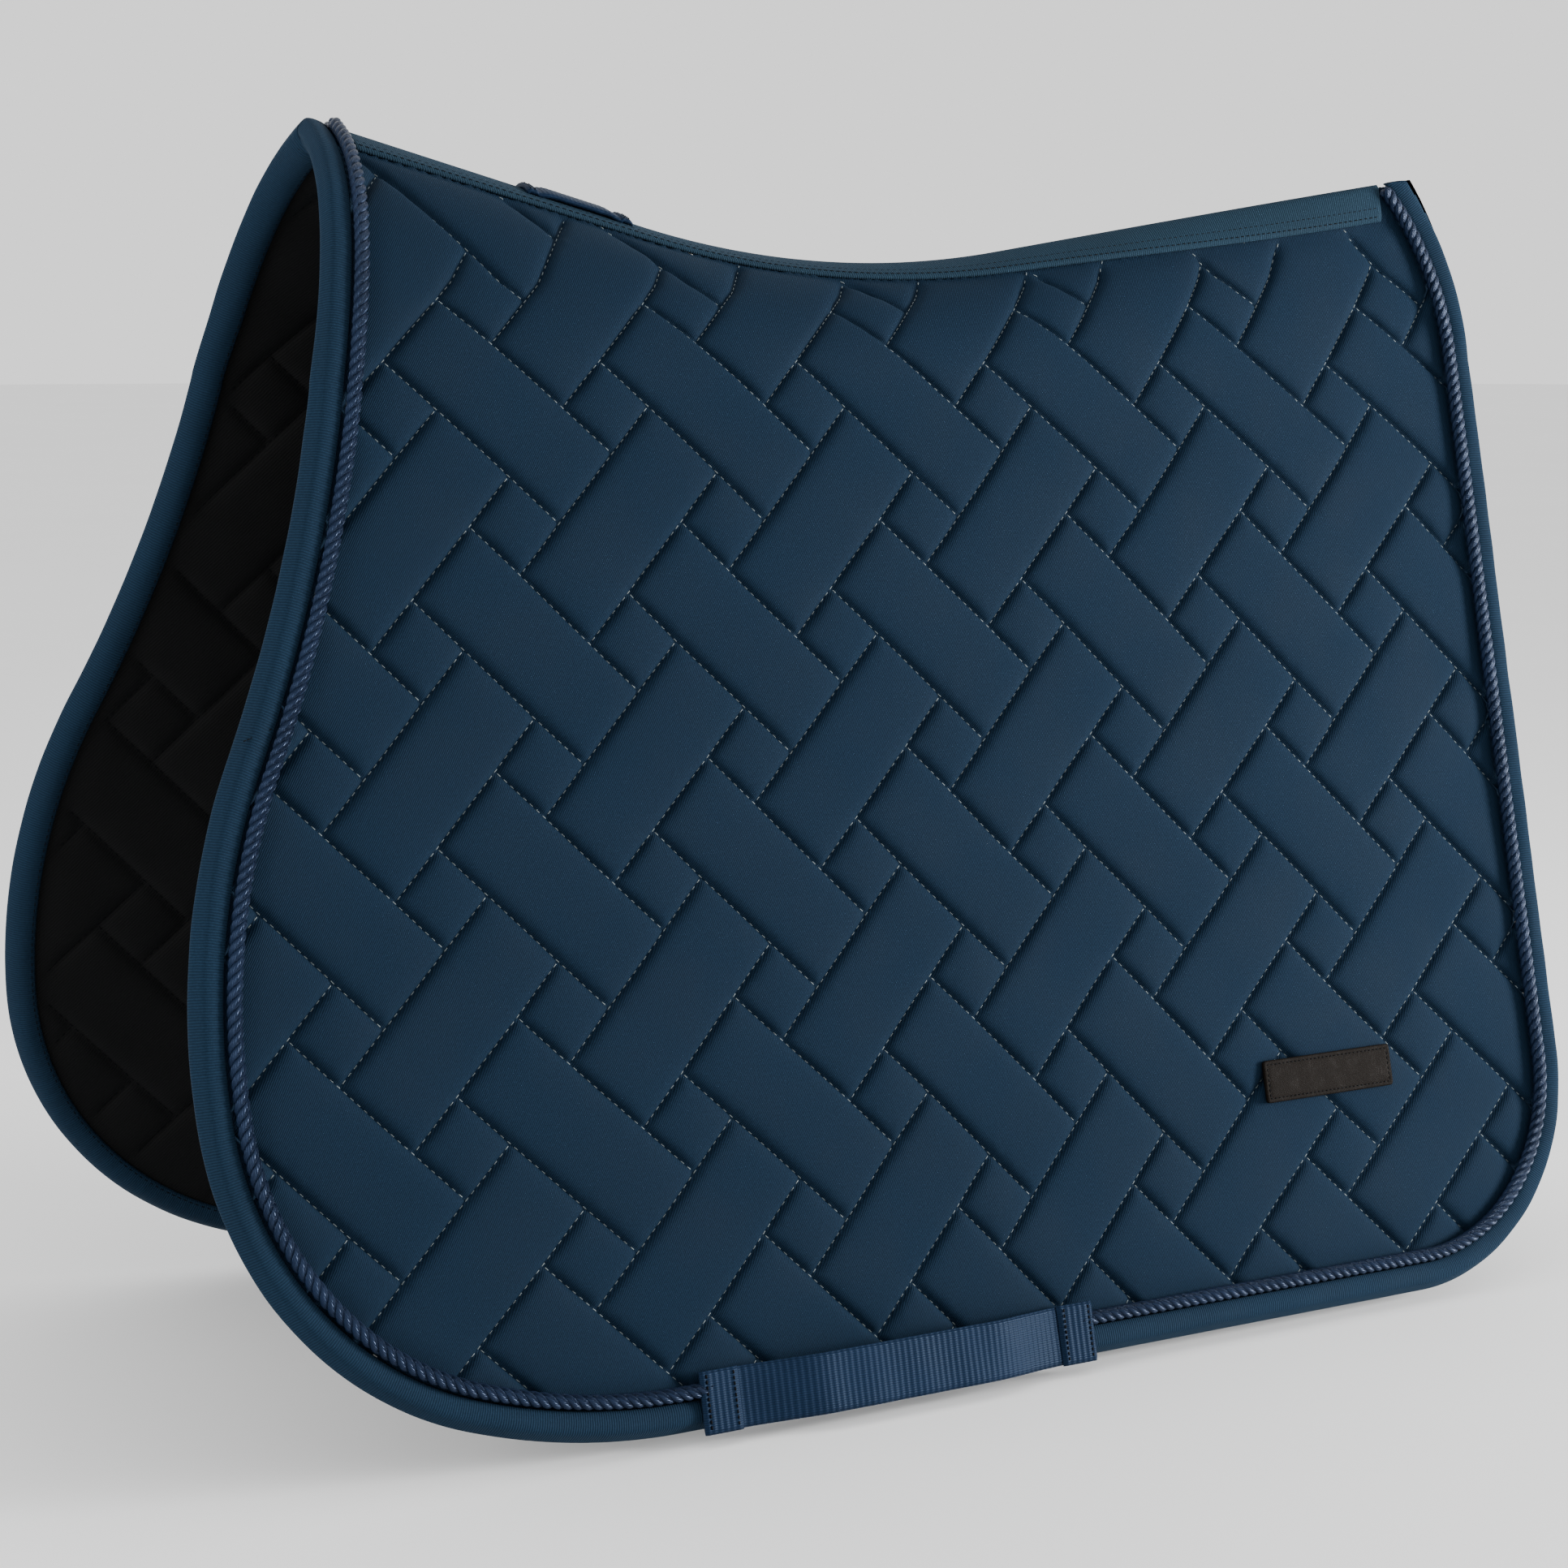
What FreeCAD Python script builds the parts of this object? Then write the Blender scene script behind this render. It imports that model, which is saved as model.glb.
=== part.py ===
"""Quilted English jumping saddle pad, draped over an empty back.

Frame, millimetres: X runs along the pad from the withers (-X) to the loins (+X), -Y is the
rider's left, +Z is up.  The origin is under the spine at its lowest point, where the pad
rests on the back.  Each side is an arched upper panel and a flat lower flap that folds
about a straight line just below the spine.  The arch belongs to the spine, and the flaps
hang from it.  Every panel is an outer fabric, a foam core and a lining, with a bound edge.
"""
import FreeCAD, Part
import math
import os

from FreeCAD import Matrix, Placement, Vector

DIMENSIONS = {
    # spine line, seen from the side: two straight stretches joined by one large arc
    "spine_corner_x": -38.0,
    "spine_corner_z": 0.2,
    "withers_slope": 16.2,
    "loin_slope": 9.1,
    "spine_radius": 400.0,
    # fold line of a flap, taken on the outer fabric in the middle of the pad
    "fold_half_width": 50.4,
    "fold_height": -37.0,
    "toe_in": 7.0,
    "flare": 12.65,
    "fold_gap": 4.4,
    "arch_fullness": 0.8,
    # the two ends of the arch, seen from the side
    "withers_edge_x": -300.0,
    "withers_edge_lean": 12.2,
    "loin_edge_x": 304.5,
    "loin_edge_radius": 144.0,
    # outline of a flap from the fold line down its front edge and back along the bottom
    "flap_front": -302.0,
    "flap_front_heading": 13.0,
    "flare_out_radius": 650.0,
    "flare_out_turn": 13.5,
    "bulge_radius": 280.0,
    "bulge_turn": 30.0,
    "front_corner_radius": 146.0,
    "front_corner_turn": 67.0,
    "bottom_radius": 290.0,
    "flap_rear": 307.0,
    "rear_corner_radius": 100.0,
    # layers of the panel
    "fabric_thickness": 1.0,
    "foam_thickness": 8.0,
    "lining_thickness": 1.0,
    "layer_gap": 0.1,
    # binding, rope trim and tapes
    "binding_width": 13.0,
    "binding_thickness": 1.5,
    "rope_diameter": 6.5,
    "rope_gap": 0.2,
    "tape_half_width": 17.0,
    "tape_thickness": 1.2,
    "seam_tape_half_width": 14.0,
    "tab_front": -177.0,
    "tab_length": 48.0,
    "tab_half_width": 9.0,
    "tab_thickness": 2.0,
    # girth loop of webbing
    "loop_front": -183.0,
    "loop_length": 197.0,
    "loop_top": 407.5,
    "webbing_width": 25.0,
    "webbing_thickness": 1.6,
    "loop_end": 18.0,
    "loop_ramp": 14.0,
    "loop_standoff": 9.0,
    # leather patch on the left flap
    "patch_front": 126.5,
    "patch_top": 316.2,
    "patch_length": 74.0,
    "patch_width": 19.0,
    "patch_thickness": 1.5,
    # sewing thread
    "thread_width": 0.8,
    "thread_height": 0.4,
    "stitch_inset": 2.0,
}

STATIONS = (-306.0, -250.0, -180.0, -125.0, -80.0, -38.0, 5.0, 50.0, 110.0, 180.0, 250.0, 306.0)
CURVE_STEPS = 14
DEEP = 500.0

doc = FreeCAD.newDocument("SaddlePad")
sheet = doc.addObject("Spreadsheet::Sheet", "Dims")
for row, (alias, value) in enumerate(DIMENSIONS.items(), start=1):
    sheet.set("A%d" % row, alias)
    sheet.set("B%d" % row, str(value))
    sheet.setAlias("B%d" % row, alias)
doc.recompute()

subparts = []


def dim(name):
    """A driving dimension, as the sheet holds it."""
    return float(getattr(sheet, name))


def keep(item, label):
    """Name a finished sub-part and put it on the list that is written out."""
    item.Label = label
    subparts.append(item)
    return item


def feature(label, shape, placement=None):
    """A sub-part whose curved shape comes from Part's own functions."""
    item = doc.addObject("Part::Feature", label)
    item.Shape = shape
    if placement is not None:
        item.Placement = placement
    return keep(item, label)


panel_depth = dim("fabric_thickness") + dim("foam_thickness") + dim("lining_thickness")
foam_top = -dim("fabric_thickness")
foam_bottom = foam_top - dim("foam_thickness")
half_gap = dim("fold_gap") / 2
edge_wall = dim("binding_thickness")


# ---------------------------------------------------------------- the spine line and the arch

def spine_height(x):
    """Height of the outer fabric on the spine, for a place along the pad."""
    front = math.radians(dim("withers_slope"))
    rear = math.radians(dim("loin_slope"))
    radius = dim("spine_radius")
    tangent = radius * math.tan((front + rear) / 2)
    start_x = dim("spine_corner_x") - tangent * math.cos(front)
    start_z = dim("spine_corner_z") + tangent * math.sin(front)
    end_x = dim("spine_corner_x") + tangent * math.cos(rear)
    end_z = dim("spine_corner_z") + tangent * math.sin(rear)
    if x < start_x:
        return start_z + (start_x - x) * math.tan(front)
    if x > end_x:
        return end_z + (x - end_x) * math.tan(rear)
    centre_x = start_x + radius * math.sin(front)
    centre_z = start_z + radius * math.cos(front)
    return centre_z - math.sqrt(radius ** 2 - (x - centre_x) ** 2)


def fold_half_width(x):
    """Half the distance between the two fold lines, for a place along the pad."""
    return dim("fold_half_width") - x * math.tan(math.radians(dim("toe_in")))


def half_section(x, offset, start, length):
    """Points (y, z) down one side of the arch, offset outward from the outer fabric.

    The run begins start millimetres from the middle plane and is length long, or it
    reaches the fold line when length is None.
    """
    slant = math.tan(math.radians(dim("flare"))) / math.cos(math.radians(dim("toe_in")))
    top = Vector(0, 0, spine_height(x))
    foot = Vector(0, fold_half_width(x), dim("fold_height"))
    knee_z = foot.z + dim("arch_fullness") * (top.z - foot.z)
    knee = Vector(0, max(foot.y - slant * (knee_z - foot.z), 0.5), knee_z)
    fine = 240
    run = []
    for step in range(fine + 1):
        t = step / fine
        point = top * (1 - t) ** 2 + knee * (2 * t * (1 - t)) + foot * t ** 2
        along = (knee - top) * (2 * (1 - t)) + (foot - knee) * (2 * t)
        along.normalize()
        run.append(point + Vector(0, -along.z, along.y) * offset)
    first = next(i for i, point in enumerate(run) if point.y > 0)
    if first > 0:
        before, after = run[first - 1], run[first]
        share = -before.y / (after.y - before.y)
        run = [before + (after - before) * share] + run[first:]
    elif run[0].y > 1e-6:
        run = [Vector(0, 0, run[0].z)] + run
    travel = [0.0]
    for a, b in zip(run, run[1:]):
        travel.append(travel[-1] + (b - a).Length)
    finish = travel[-1] - half_gap if length is None else start + length
    points = []
    for step in range(CURVE_STEPS + 1):
        want = start + (finish - start) * step / CURVE_STEPS
        k = max(i for i, length_so_far in enumerate(travel) if length_so_far <= want + 1e-9)
        k = min(k, len(run) - 2)
        share = (want - travel[k]) / (travel[k + 1] - travel[k])
        points.append(run[k] + (run[k + 1] - run[k]) * share)
    return points


def arch_slab(side, low, high, start=0.0, length=None):
    """Solid between two offsets of one side's arch; side is -1 on the left, +1 on the right."""
    wires = []
    for x in STATIONS:
        upper = [Vector(x, side * p.y, p.z) for p in half_section(x, high, start, length)]
        lower = [Vector(x, side * p.y, p.z) for p in half_section(x, low, start, length)]
        top_curve = Part.BSplineCurve()
        top_curve.interpolate(upper)
        bottom_curve = Part.BSplineCurve()
        bottom_curve.interpolate(lower[::-1])
        wires.append(Part.Wire([
            top_curve.toShape(),
            Part.makeLine(upper[-1], lower[-1]),
            bottom_curve.toShape(),
            Part.makeLine(lower[0], upper[0]),
        ]))
    return Part.makeLoft(wires, True, False)


def side_profile(inset):
    """Prism across the whole pad that leaves the arch its length, less an inset at each end."""
    lean = math.radians(dim("withers_edge_lean"))
    low = dim("fold_height") - 60.0
    high = spine_height(STATIONS[0]) + 60.0
    front_low = dim("withers_edge_x") + inset / math.cos(lean) + math.tan(lean) * -60.0
    front_high = front_low + math.tan(lean) * (high - low)
    radius = dim("loin_edge_radius") - inset
    centre = Vector(dim("loin_edge_x") - dim("loin_edge_radius"), 0, dim("fold_height"))
    arc_top = centre + Vector(math.cos(math.radians(70)), 0, math.sin(math.radians(70))) * radius
    arc_mid = centre + Vector(math.cos(math.radians(35)), 0, math.sin(math.radians(35))) * radius
    arc_foot = centre + Vector(radius, 0, 0)
    corners = [
        arc_top,
        Vector(arc_top.x, 0, high),
        Vector(front_high, 0, high),
        Vector(front_low, 0, low),
        Vector(arc_foot.x, 0, low),
        arc_foot,
    ]
    edges = [Part.makeLine(a, b) for a, b in zip(corners, corners[1:])]
    edges.append(Part.Arc(arc_foot, arc_mid, arc_top).toShape())
    face = Part.Face(Part.Wire(edges))
    face.translate(Vector(0, -DEEP, 0))
    return face.extrude(Vector(0, 2 * DEEP, 0))


def half_space(front, rear):
    """Box over the whole height and width of the pad between two places along it."""
    return Part.makeBox(rear - front, 2 * DEEP, 2 * DEEP, Vector(front, -DEEP, -DEEP))


def both_sides(low, high, start=0.0, length=None):
    """One solid over the spine, the left and right slabs joined along the middle plane."""
    joined = arch_slab(-1, low, high, start, length).fuse(arch_slab(1, low, high, start, length))
    return joined.removeSplitter()


def one_solid(shape):
    """The single solid of a boolean's result."""
    solids = sorted(shape.Solids, key=lambda solid: solid.Volume)
    return solids[-1]


def make_arch():
    """Everything on the spine: upper panels, tapes, tab, and the bound ends over the spine."""
    panel_profile = side_profile(edge_wall)
    gap = dim("layer_gap")
    for side, name in ((-1, "left"), (1, "right")):
        layers = (
            ("upper_outer_fabric", foam_top, 0.0),
            ("upper_foam_core", foam_bottom + gap, foam_top - gap),
            ("upper_lining", -panel_depth, foam_bottom),
        )
        for layer, low, high in layers:
            slab = arch_slab(side, low, high).common(panel_profile)
            feature("%s_%s" % (name, layer), one_solid(slab))

    outer = side_profile(0.0)
    inner = side_profile(dim("binding_width"))
    sleeve = both_sides(-panel_depth - edge_wall, edge_wall).common(outer).cut(inner)
    panel = both_sides(-panel_depth, 0.0).common(panel_profile)
    bands = sleeve.cut(panel)
    feature("withers_binding", one_solid(bands.common(half_space(-DEEP, 0.0))))
    feature("loin_binding", one_solid(bands.common(half_space(0.0, DEEP))))

    rope_start = dim("binding_width") + dim("rope_gap")
    rope_end = rope_start + dim("rope_diameter")
    cord = both_sides(0.0, dim("rope_diameter"))
    cord = cord.common(side_profile(rope_start)).cut(side_profile(rope_end))
    feature("withers_rope_trim", one_solid(cord.common(half_space(-DEEP, 0.0))))
    feature("loin_rope_trim", one_solid(cord.common(half_space(0.0, DEEP))))

    tape_profile = side_profile(rope_end + dim("rope_gap"))
    tape_top = gap + dim("tape_thickness")
    tape = both_sides(gap, tape_top, 0.0, dim("tape_half_width"))
    feature("spine_tape", one_solid(tape.common(tape_profile)))
    seam = both_sides(-panel_depth - tape_top, -panel_depth - gap, 0.0,
                      dim("seam_tape_half_width"))
    seam_profile = side_profile(dim("binding_width") + dim("rope_gap"))
    feature("spine_seam_tape", one_solid(seam.common(seam_profile)))

    tab_low = tape_top + gap
    tab = both_sides(tab_low, tab_low + dim("tab_thickness"), 0.0, dim("tab_half_width"))
    span = half_space(dim("tab_front"), dim("tab_front") + dim("tab_length"))
    feature("withers_tab", one_solid(tab.common(span)))


# ------------------------------------------------------------------------- the flat lower flaps

def flap_placement(side):
    """Placement of a flap's own frame.

    Its X runs rearward along the fold line and its Y up the flap.  Its Z points out of the
    left flap and, because the right flap is the mirror image, into the right one.
    """
    toe = math.radians(dim("toe_in"))
    tilt = math.radians(dim("flare"))
    along = Vector(math.cos(toe), -side * math.sin(toe), 0)
    outward = Vector(math.sin(toe) * math.cos(tilt), side * math.cos(toe) * math.cos(tilt),
                     math.sin(tilt))
    normal = outward * -side
    upward = normal.cross(along)
    frame = Matrix(
        along.x, upward.x, normal.x, 0,
        along.y, upward.y, normal.y, side * dim("fold_half_width"),
        along.z, upward.z, normal.z, dim("fold_height"),
        0, 0, 0, 1,
    )
    return Placement(frame)


def outline_arcs(inset):
    """The tangent arcs of the flap's front edge and bottom, as (centre, radius, from, to).

    Angles are in radians in the flap's own frame, and an inset moves the edge inward.
    """
    headings = (dim("flare_out_turn"), -dim("bulge_turn"), -dim("front_corner_turn"))
    total = dim("flap_front_heading") + sum(headings)
    turns = headings + (-90.0 - total,)
    radii = (dim("flare_out_radius"), dim("bulge_radius"), dim("front_corner_radius"),
             dim("bottom_radius"))
    point = Vector(dim("flap_front"), 0, 0)
    heading = math.radians(dim("flap_front_heading"))
    arcs = []
    for turn, radius in zip(turns, radii):
        bend = 1 if turn > 0 else -1
        forward_side = Vector(-math.cos(heading), math.sin(heading), 0)
        centre = point + forward_side * (bend * radius)
        heading += math.radians(turn)
        forward_side = Vector(-math.cos(heading), math.sin(heading), 0)
        end = centre - forward_side * (bend * radius)
        start_angle = math.atan2(point.y - centre.y, point.x - centre.x)
        end_angle = math.atan2(end.y - centre.y, end.x - centre.x)
        arcs.append((centre, radius + bend * inset, start_angle, end_angle))
        point = end
    return arcs


def arc_edge(centre, radius, start_angle, end_angle):
    """An arc between two angles, whichever way round is the shorter."""
    turn = (end_angle - start_angle + math.pi) % (2 * math.pi) - math.pi
    angles = (start_angle, start_angle + turn / 2, start_angle + turn)
    ends = [centre + Vector(math.cos(a), math.sin(a), 0) * radius for a in angles]
    return Part.Arc(*ends)


def edge_run(inset, top):
    """Geometry of the edge from the fold line at the front, round the flap, to the rear."""
    arcs = outline_arcs(inset)
    centre, radius, _, end_angle = arcs[0]
    top_angle = math.asin((-top - centre.y) / radius)
    arcs[0] = (centre, radius, top_angle, end_angle)
    run = [arc_edge(*arc) for arc in arcs]
    bottom = run[-1].EndPoint
    rear = dim("flap_rear") - inset
    corner = dim("rear_corner_radius") - inset
    turn_start = Vector(rear - corner, bottom.y, 0)
    turn_end = Vector(rear, bottom.y + corner, 0)
    centre = Vector(rear - corner, bottom.y + corner, 0)
    run.append(Part.LineSegment(bottom, turn_start))
    run.append(arc_edge(centre, corner, -math.pi / 2, 0.0))
    run.append(Part.LineSegment(turn_end, Vector(rear, -top, 0)))
    return run


def closed_outline(inset, top):
    """The edge run closed by the straight cut along the fold line."""
    run = edge_run(inset, top)
    run.append(Part.LineSegment(run[-1].EndPoint, run[0].StartPoint))
    return run


def band_outline(outer_inset, inner_inset, top):
    """A band of even width along the edge, from fold line to fold line."""
    outer = edge_run(outer_inset, top)
    inner = edge_run(inner_inset, top)
    bridges = [
        Part.LineSegment(outer[-1].EndPoint, inner[-1].EndPoint),
        Part.LineSegment(inner[0].StartPoint, outer[0].StartPoint),
    ]
    return outer + inner + bridges


def origin_plane(body, role):
    """One of a body's own origin planes."""
    return next(item for item in body.Origin.OriginFeatures if item.Role == role)


def new_body(label, side):
    """An empty body that lies in a flap's own frame."""
    body = doc.addObject("PartDesign::Body", label)
    body.Placement = flap_placement(side)
    return keep(body, label)


def new_sketch(body, name, geometry, height, side):
    """A sketch parallel to the flap; height is an expression counted outward."""
    sketch = body.newObject("Sketcher::SketchObject", name)
    sketch.AttachmentSupport = (origin_plane(body, "XY_Plane"), [""])
    sketch.MapMode = "FlatFace"
    sketch.addGeometry(geometry, False)
    sketch.setExpression("AttachmentOffset.Base.z", "%d * (%s)" % (-side, height))
    return sketch


def pad_inward(body, name, geometry, height, length, side):
    """A slab from a height down towards the horse, both given as expressions."""
    sketch = new_sketch(body, name + "_sketch", geometry, height, side)
    pad = body.newObject("PartDesign::Pad", name)
    pad.Profile = sketch
    pad.setExpression("Length", length)
    pad.Reversed = side < 0
    return pad


def make_panel_layer(name, layer, side, height, length):
    """One layer of a flap, which fills the binding from edge to edge."""
    body = new_body("%s_%s" % (name, layer), side)
    pad_inward(body, name + "_" + layer + "_pad", closed_outline(edge_wall, half_gap),
               height, length, side)


def make_binding(name, side):
    """Folded binding: a U-shaped sleeve round the flap's free edge."""
    body = new_body(name + "_edge_binding", side)
    pad_inward(body, name + "_binding_pad",
               band_outline(0.0, dim("binding_width"), half_gap), "Dims.binding_thickness",
               "Dims.fabric_thickness + Dims.foam_thickness + Dims.lining_thickness"
               " + 2 * Dims.binding_thickness", side)
    doc.recompute()
    solid_volume = body.Shape.Volume
    slot = new_sketch(body, name + "_binding_slot_sketch",
                      band_outline(edge_wall, dim("binding_width") + 5.0, half_gap - 5.0),
                      "0", side)
    pocket = body.newObject("PartDesign::Pocket", name + "_binding_slot")
    pocket.Profile = slot
    pocket.setExpression("Length", "Dims.fabric_thickness + Dims.foam_thickness"
                                   " + Dims.lining_thickness")
    pocket.Reversed = side > 0
    doc.recompute()
    if body.Shape.Volume > 0.6 * solid_volume:
        raise RuntimeError("the slot of %s_edge_binding cut nothing" % name)


def split_run(run, limit_x, keep_front):
    """The part of the rope's route in front of, or behind, the girth loop."""
    bottom = next(i for i, item in enumerate(run) if isinstance(item, Part.LineSegment))
    straight = run[bottom]
    cut = Vector(limit_x, straight.StartPoint.y, 0)
    if keep_front:
        return run[:bottom] + [Part.LineSegment(straight.StartPoint, cut)]
    return [Part.LineSegment(cut, straight.EndPoint)] + run[bottom + 1:]


def make_rope(name, label, side, limit_x, keep_front):
    """Rope trim sewn beside the binding, as a plain round cord along its route."""
    radius = dim("rope_diameter") / 2
    inset = dim("binding_width") + dim("rope_gap") + radius
    run = split_run(edge_run(inset, half_gap), limit_x, keep_front)
    wire = Part.Wire([item.toShape() for item in run])
    wire.translate(Vector(0, 0, -side * (radius + 0.05)))
    first = wire.OrderedEdges[0]
    tangent = first.tangentAt(first.FirstParameter)
    circle = Part.Wire(Part.makeCircle(radius, first.valueAt(first.FirstParameter), tangent))
    tube = wire.makePipeShell([circle], True, False)
    expected = math.pi * radius ** 2 * wire.Length
    if abs(tube.Volume - expected) > 0.01 * expected:
        raise RuntimeError("%s: the tube's volume does not match its length" % label)
    feature("%s_%s" % (name, label), tube, flap_placement(side))


def loop_profile(side):
    """Girth loop seen along its width: ends sewn flat, the middle standing clear."""
    out = -side
    front = dim("loop_front")
    rear = front + dim("loop_length")
    seat = dim("binding_thickness")
    thick = dim("webbing_thickness")
    crest = seat + dim("loop_standoff")
    stations = (
        (front, seat, seat + 2 * thick),
        (front + dim("loop_end"), seat, seat + 2 * thick),
        (front + dim("loop_end") + dim("loop_ramp"), crest, crest + thick),
        (rear - dim("loop_end") - dim("loop_ramp"), crest, crest + thick),
        (rear - dim("loop_end"), seat, seat + 2 * thick),
        (rear, seat, seat + 2 * thick),
    )
    under = [Vector(u, out * low, 0) for u, low, high in stations]
    over = [Vector(u, out * high, 0) for u, low, high in stations]
    ring = under + over[::-1]
    return [Part.LineSegment(a, b) for a, b in zip(ring, ring[1:] + ring[:1])]


def make_girth_loop(name, side):
    """Loop of webbing on the bottom edge that keeps the girth in place."""
    body = new_body(name + "_girth_loop", side)
    sketch = body.newObject("Sketcher::SketchObject", name + "_loop_sketch")
    sketch.AttachmentSupport = (origin_plane(body, "XZ_Plane"), [""])
    sketch.MapMode = "FlatFace"
    sketch.addGeometry(loop_profile(side), False)
    sketch.setExpression("AttachmentOffset.Base.z", "Dims.loop_top")
    pad = body.newObject("PartDesign::Pad", name + "_loop_pad")
    pad.Profile = sketch
    pad.setExpression("Length", "Dims.webbing_width")


def make_loop_stitching(name, side):
    """Two rows of thread across each sewn end of the girth loop."""
    top = dim("binding_thickness") + 2 * dim("webbing_thickness")
    length = dim("webbing_width") - 2 * dim("stitch_inset")
    first = dim("loop_front")
    last = first + dim("loop_length")
    rows = (
        first + dim("stitch_inset"),
        first + dim("loop_end") - 2 * dim("stitch_inset"),
        last - dim("loop_end") + dim("stitch_inset"),
        last - 2 * dim("stitch_inset"),
    )
    low = top if side < 0 else -top - dim("thread_height")
    bars = [
        Part.makeBox(dim("thread_width"), length, dim("thread_height"),
                     Vector(u, -dim("loop_top") - dim("stitch_inset") - length, low))
        for u in rows
    ]
    feature(name + "_girth_loop_stitching", Part.makeCompound(bars), flap_placement(side))


def rectangle(front, top, length, width):
    """Four sides of a rectangle in the flap's own frame."""
    corners = [
        Vector(front, -top, 0),
        Vector(front + length, -top, 0),
        Vector(front + length, -top - width, 0),
        Vector(front, -top - width, 0),
    ]
    return [Part.LineSegment(a, b) for a, b in zip(corners, corners[1:] + corners[:1])]


def make_patch():
    """Leather patch and its row of stitches, on the left flap only."""
    side = -1
    body = new_body("leather_patch", side)
    sheet_outline = rectangle(dim("patch_front"), dim("patch_top"), dim("patch_length"),
                              dim("patch_width"))
    pad_inward(body, "patch_pad", sheet_outline, "Dims.patch_thickness",
               "Dims.patch_thickness", side)
    outer = dim("stitch_inset")
    inner = outer + dim("thread_width")
    ring = []
    for inset in (outer, inner):
        ring += rectangle(dim("patch_front") + inset, dim("patch_top") + inset,
                          dim("patch_length") - 2 * inset, dim("patch_width") - 2 * inset)
    thread = new_body("leather_patch_stitching", side)
    pad_inward(thread, "patch_thread_pad", ring, "Dims.patch_thickness + Dims.thread_height",
               "Dims.thread_height", side)


def make_flap(name, side):
    """All that hangs below one fold line."""
    make_panel_layer(name, "flap_outer_fabric", side, "0", "Dims.fabric_thickness")
    make_panel_layer(name, "flap_foam_core", side, "-Dims.fabric_thickness",
                     "Dims.foam_thickness")
    make_panel_layer(name, "flap_lining", side,
                     "-Dims.fabric_thickness - Dims.foam_thickness", "Dims.lining_thickness")
    make_binding(name, side)
    loop_rear = dim("loop_front") + dim("loop_length")
    make_rope(name, "front_rope_trim", side, dim("loop_front") - dim("rope_gap"), True)
    make_rope(name, "rear_rope_trim", side, loop_rear + dim("rope_gap"), False)
    make_girth_loop(name, side)
    make_loop_stitching(name, side)


# ------------------------------------------------------------------------------ build and write

make_arch()
make_flap("left", -1)
make_flap("right", 1)
make_patch()
doc.recompute()

for item in doc.Objects:
    if "Invalid" in item.State or "Error" in item.State:
        raise RuntimeError("%s failed: %s" % (item.Label, item.State))
for item in subparts:
    if item.Shape.isNull() or not item.Shape.isValid() or not item.Shape.Solids:
        raise RuntimeError("%s has no valid solid" % item.Label)

os.makedirs("parts", exist_ok=True)
for item in subparts:
    item.Shape.exportStep("parts/%s.step" % item.Label)
    box = item.Shape.BoundBox
    print("%-32s %2d solids %10.1f mm3  x %7.1f %7.1f  y %7.1f %7.1f  z %7.1f %7.1f" % (
        item.Label, len(item.Shape.Solids), item.Shape.Volume,
        box.XMin, box.XMax, box.YMin, box.YMax, box.ZMin, box.ZMax))
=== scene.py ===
"""Quilted jumping saddle pad: its fabrics, quilting, bound edge, rope trim, webbing and leather.

Every length in the shape of the pad is in millimetres until a mesh is written in metres.  A place
on one side of the pad is (u, w, n): u runs rearward along the fold line, w down from it, and n
outward from the outer fabric.  Above the fold line w is negative and follows the arch up to the
spine.
"""
import math

import bmesh
import bpy
import numpy as np
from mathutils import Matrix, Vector, kdtree


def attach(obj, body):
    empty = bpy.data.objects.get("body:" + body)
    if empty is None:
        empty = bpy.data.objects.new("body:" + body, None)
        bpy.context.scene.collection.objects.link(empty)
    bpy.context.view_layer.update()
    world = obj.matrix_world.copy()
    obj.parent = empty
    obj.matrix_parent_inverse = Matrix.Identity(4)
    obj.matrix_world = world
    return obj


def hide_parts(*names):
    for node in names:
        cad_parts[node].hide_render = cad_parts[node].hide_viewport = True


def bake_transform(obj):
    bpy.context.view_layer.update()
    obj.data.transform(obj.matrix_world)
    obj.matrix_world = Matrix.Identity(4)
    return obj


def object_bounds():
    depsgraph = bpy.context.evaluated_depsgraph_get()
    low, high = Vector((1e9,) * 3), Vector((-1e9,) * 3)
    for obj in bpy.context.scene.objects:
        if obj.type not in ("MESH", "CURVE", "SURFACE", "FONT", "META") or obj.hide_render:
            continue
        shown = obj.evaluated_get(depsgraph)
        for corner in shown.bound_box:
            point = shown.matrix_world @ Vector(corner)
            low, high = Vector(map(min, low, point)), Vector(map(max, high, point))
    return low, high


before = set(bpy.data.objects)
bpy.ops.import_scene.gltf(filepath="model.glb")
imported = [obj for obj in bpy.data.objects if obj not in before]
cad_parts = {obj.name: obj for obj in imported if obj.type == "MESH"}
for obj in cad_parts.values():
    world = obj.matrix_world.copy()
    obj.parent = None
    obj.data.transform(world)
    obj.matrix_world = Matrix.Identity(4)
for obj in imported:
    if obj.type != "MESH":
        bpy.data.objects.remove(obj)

bl_info = {
    "name": "Quilted saddle pad",
    "version": (1, 0, 0),
    "blender": (4, 5, 0),
    "location": "View3D > Sidebar > Saddle pad",
    "description": "Makes a quilted jumping saddle pad with bound edges and rope trim",
    "category": "Add Mesh",
}

MM = 0.001
SIDES = (("left", -1), ("right", 1))
CAD_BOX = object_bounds()

# spine line, seen from the side
SPINE_CORNER = (-38.0, 0.2)
WITHERS_SLOPE = math.radians(16.2)
LOIN_SLOPE = math.radians(9.1)
SPINE_RADIUS = 400.0

# fold lines and the arch above them
FOLD_HALF_WIDTH = 50.4
FOLD_HEIGHT = -37.0
TOE_IN = math.radians(7.0)
FLARE = math.radians(12.65)
ARCH_FULLNESS = 0.8
MIDDLE_GAP = 0.3

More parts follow.
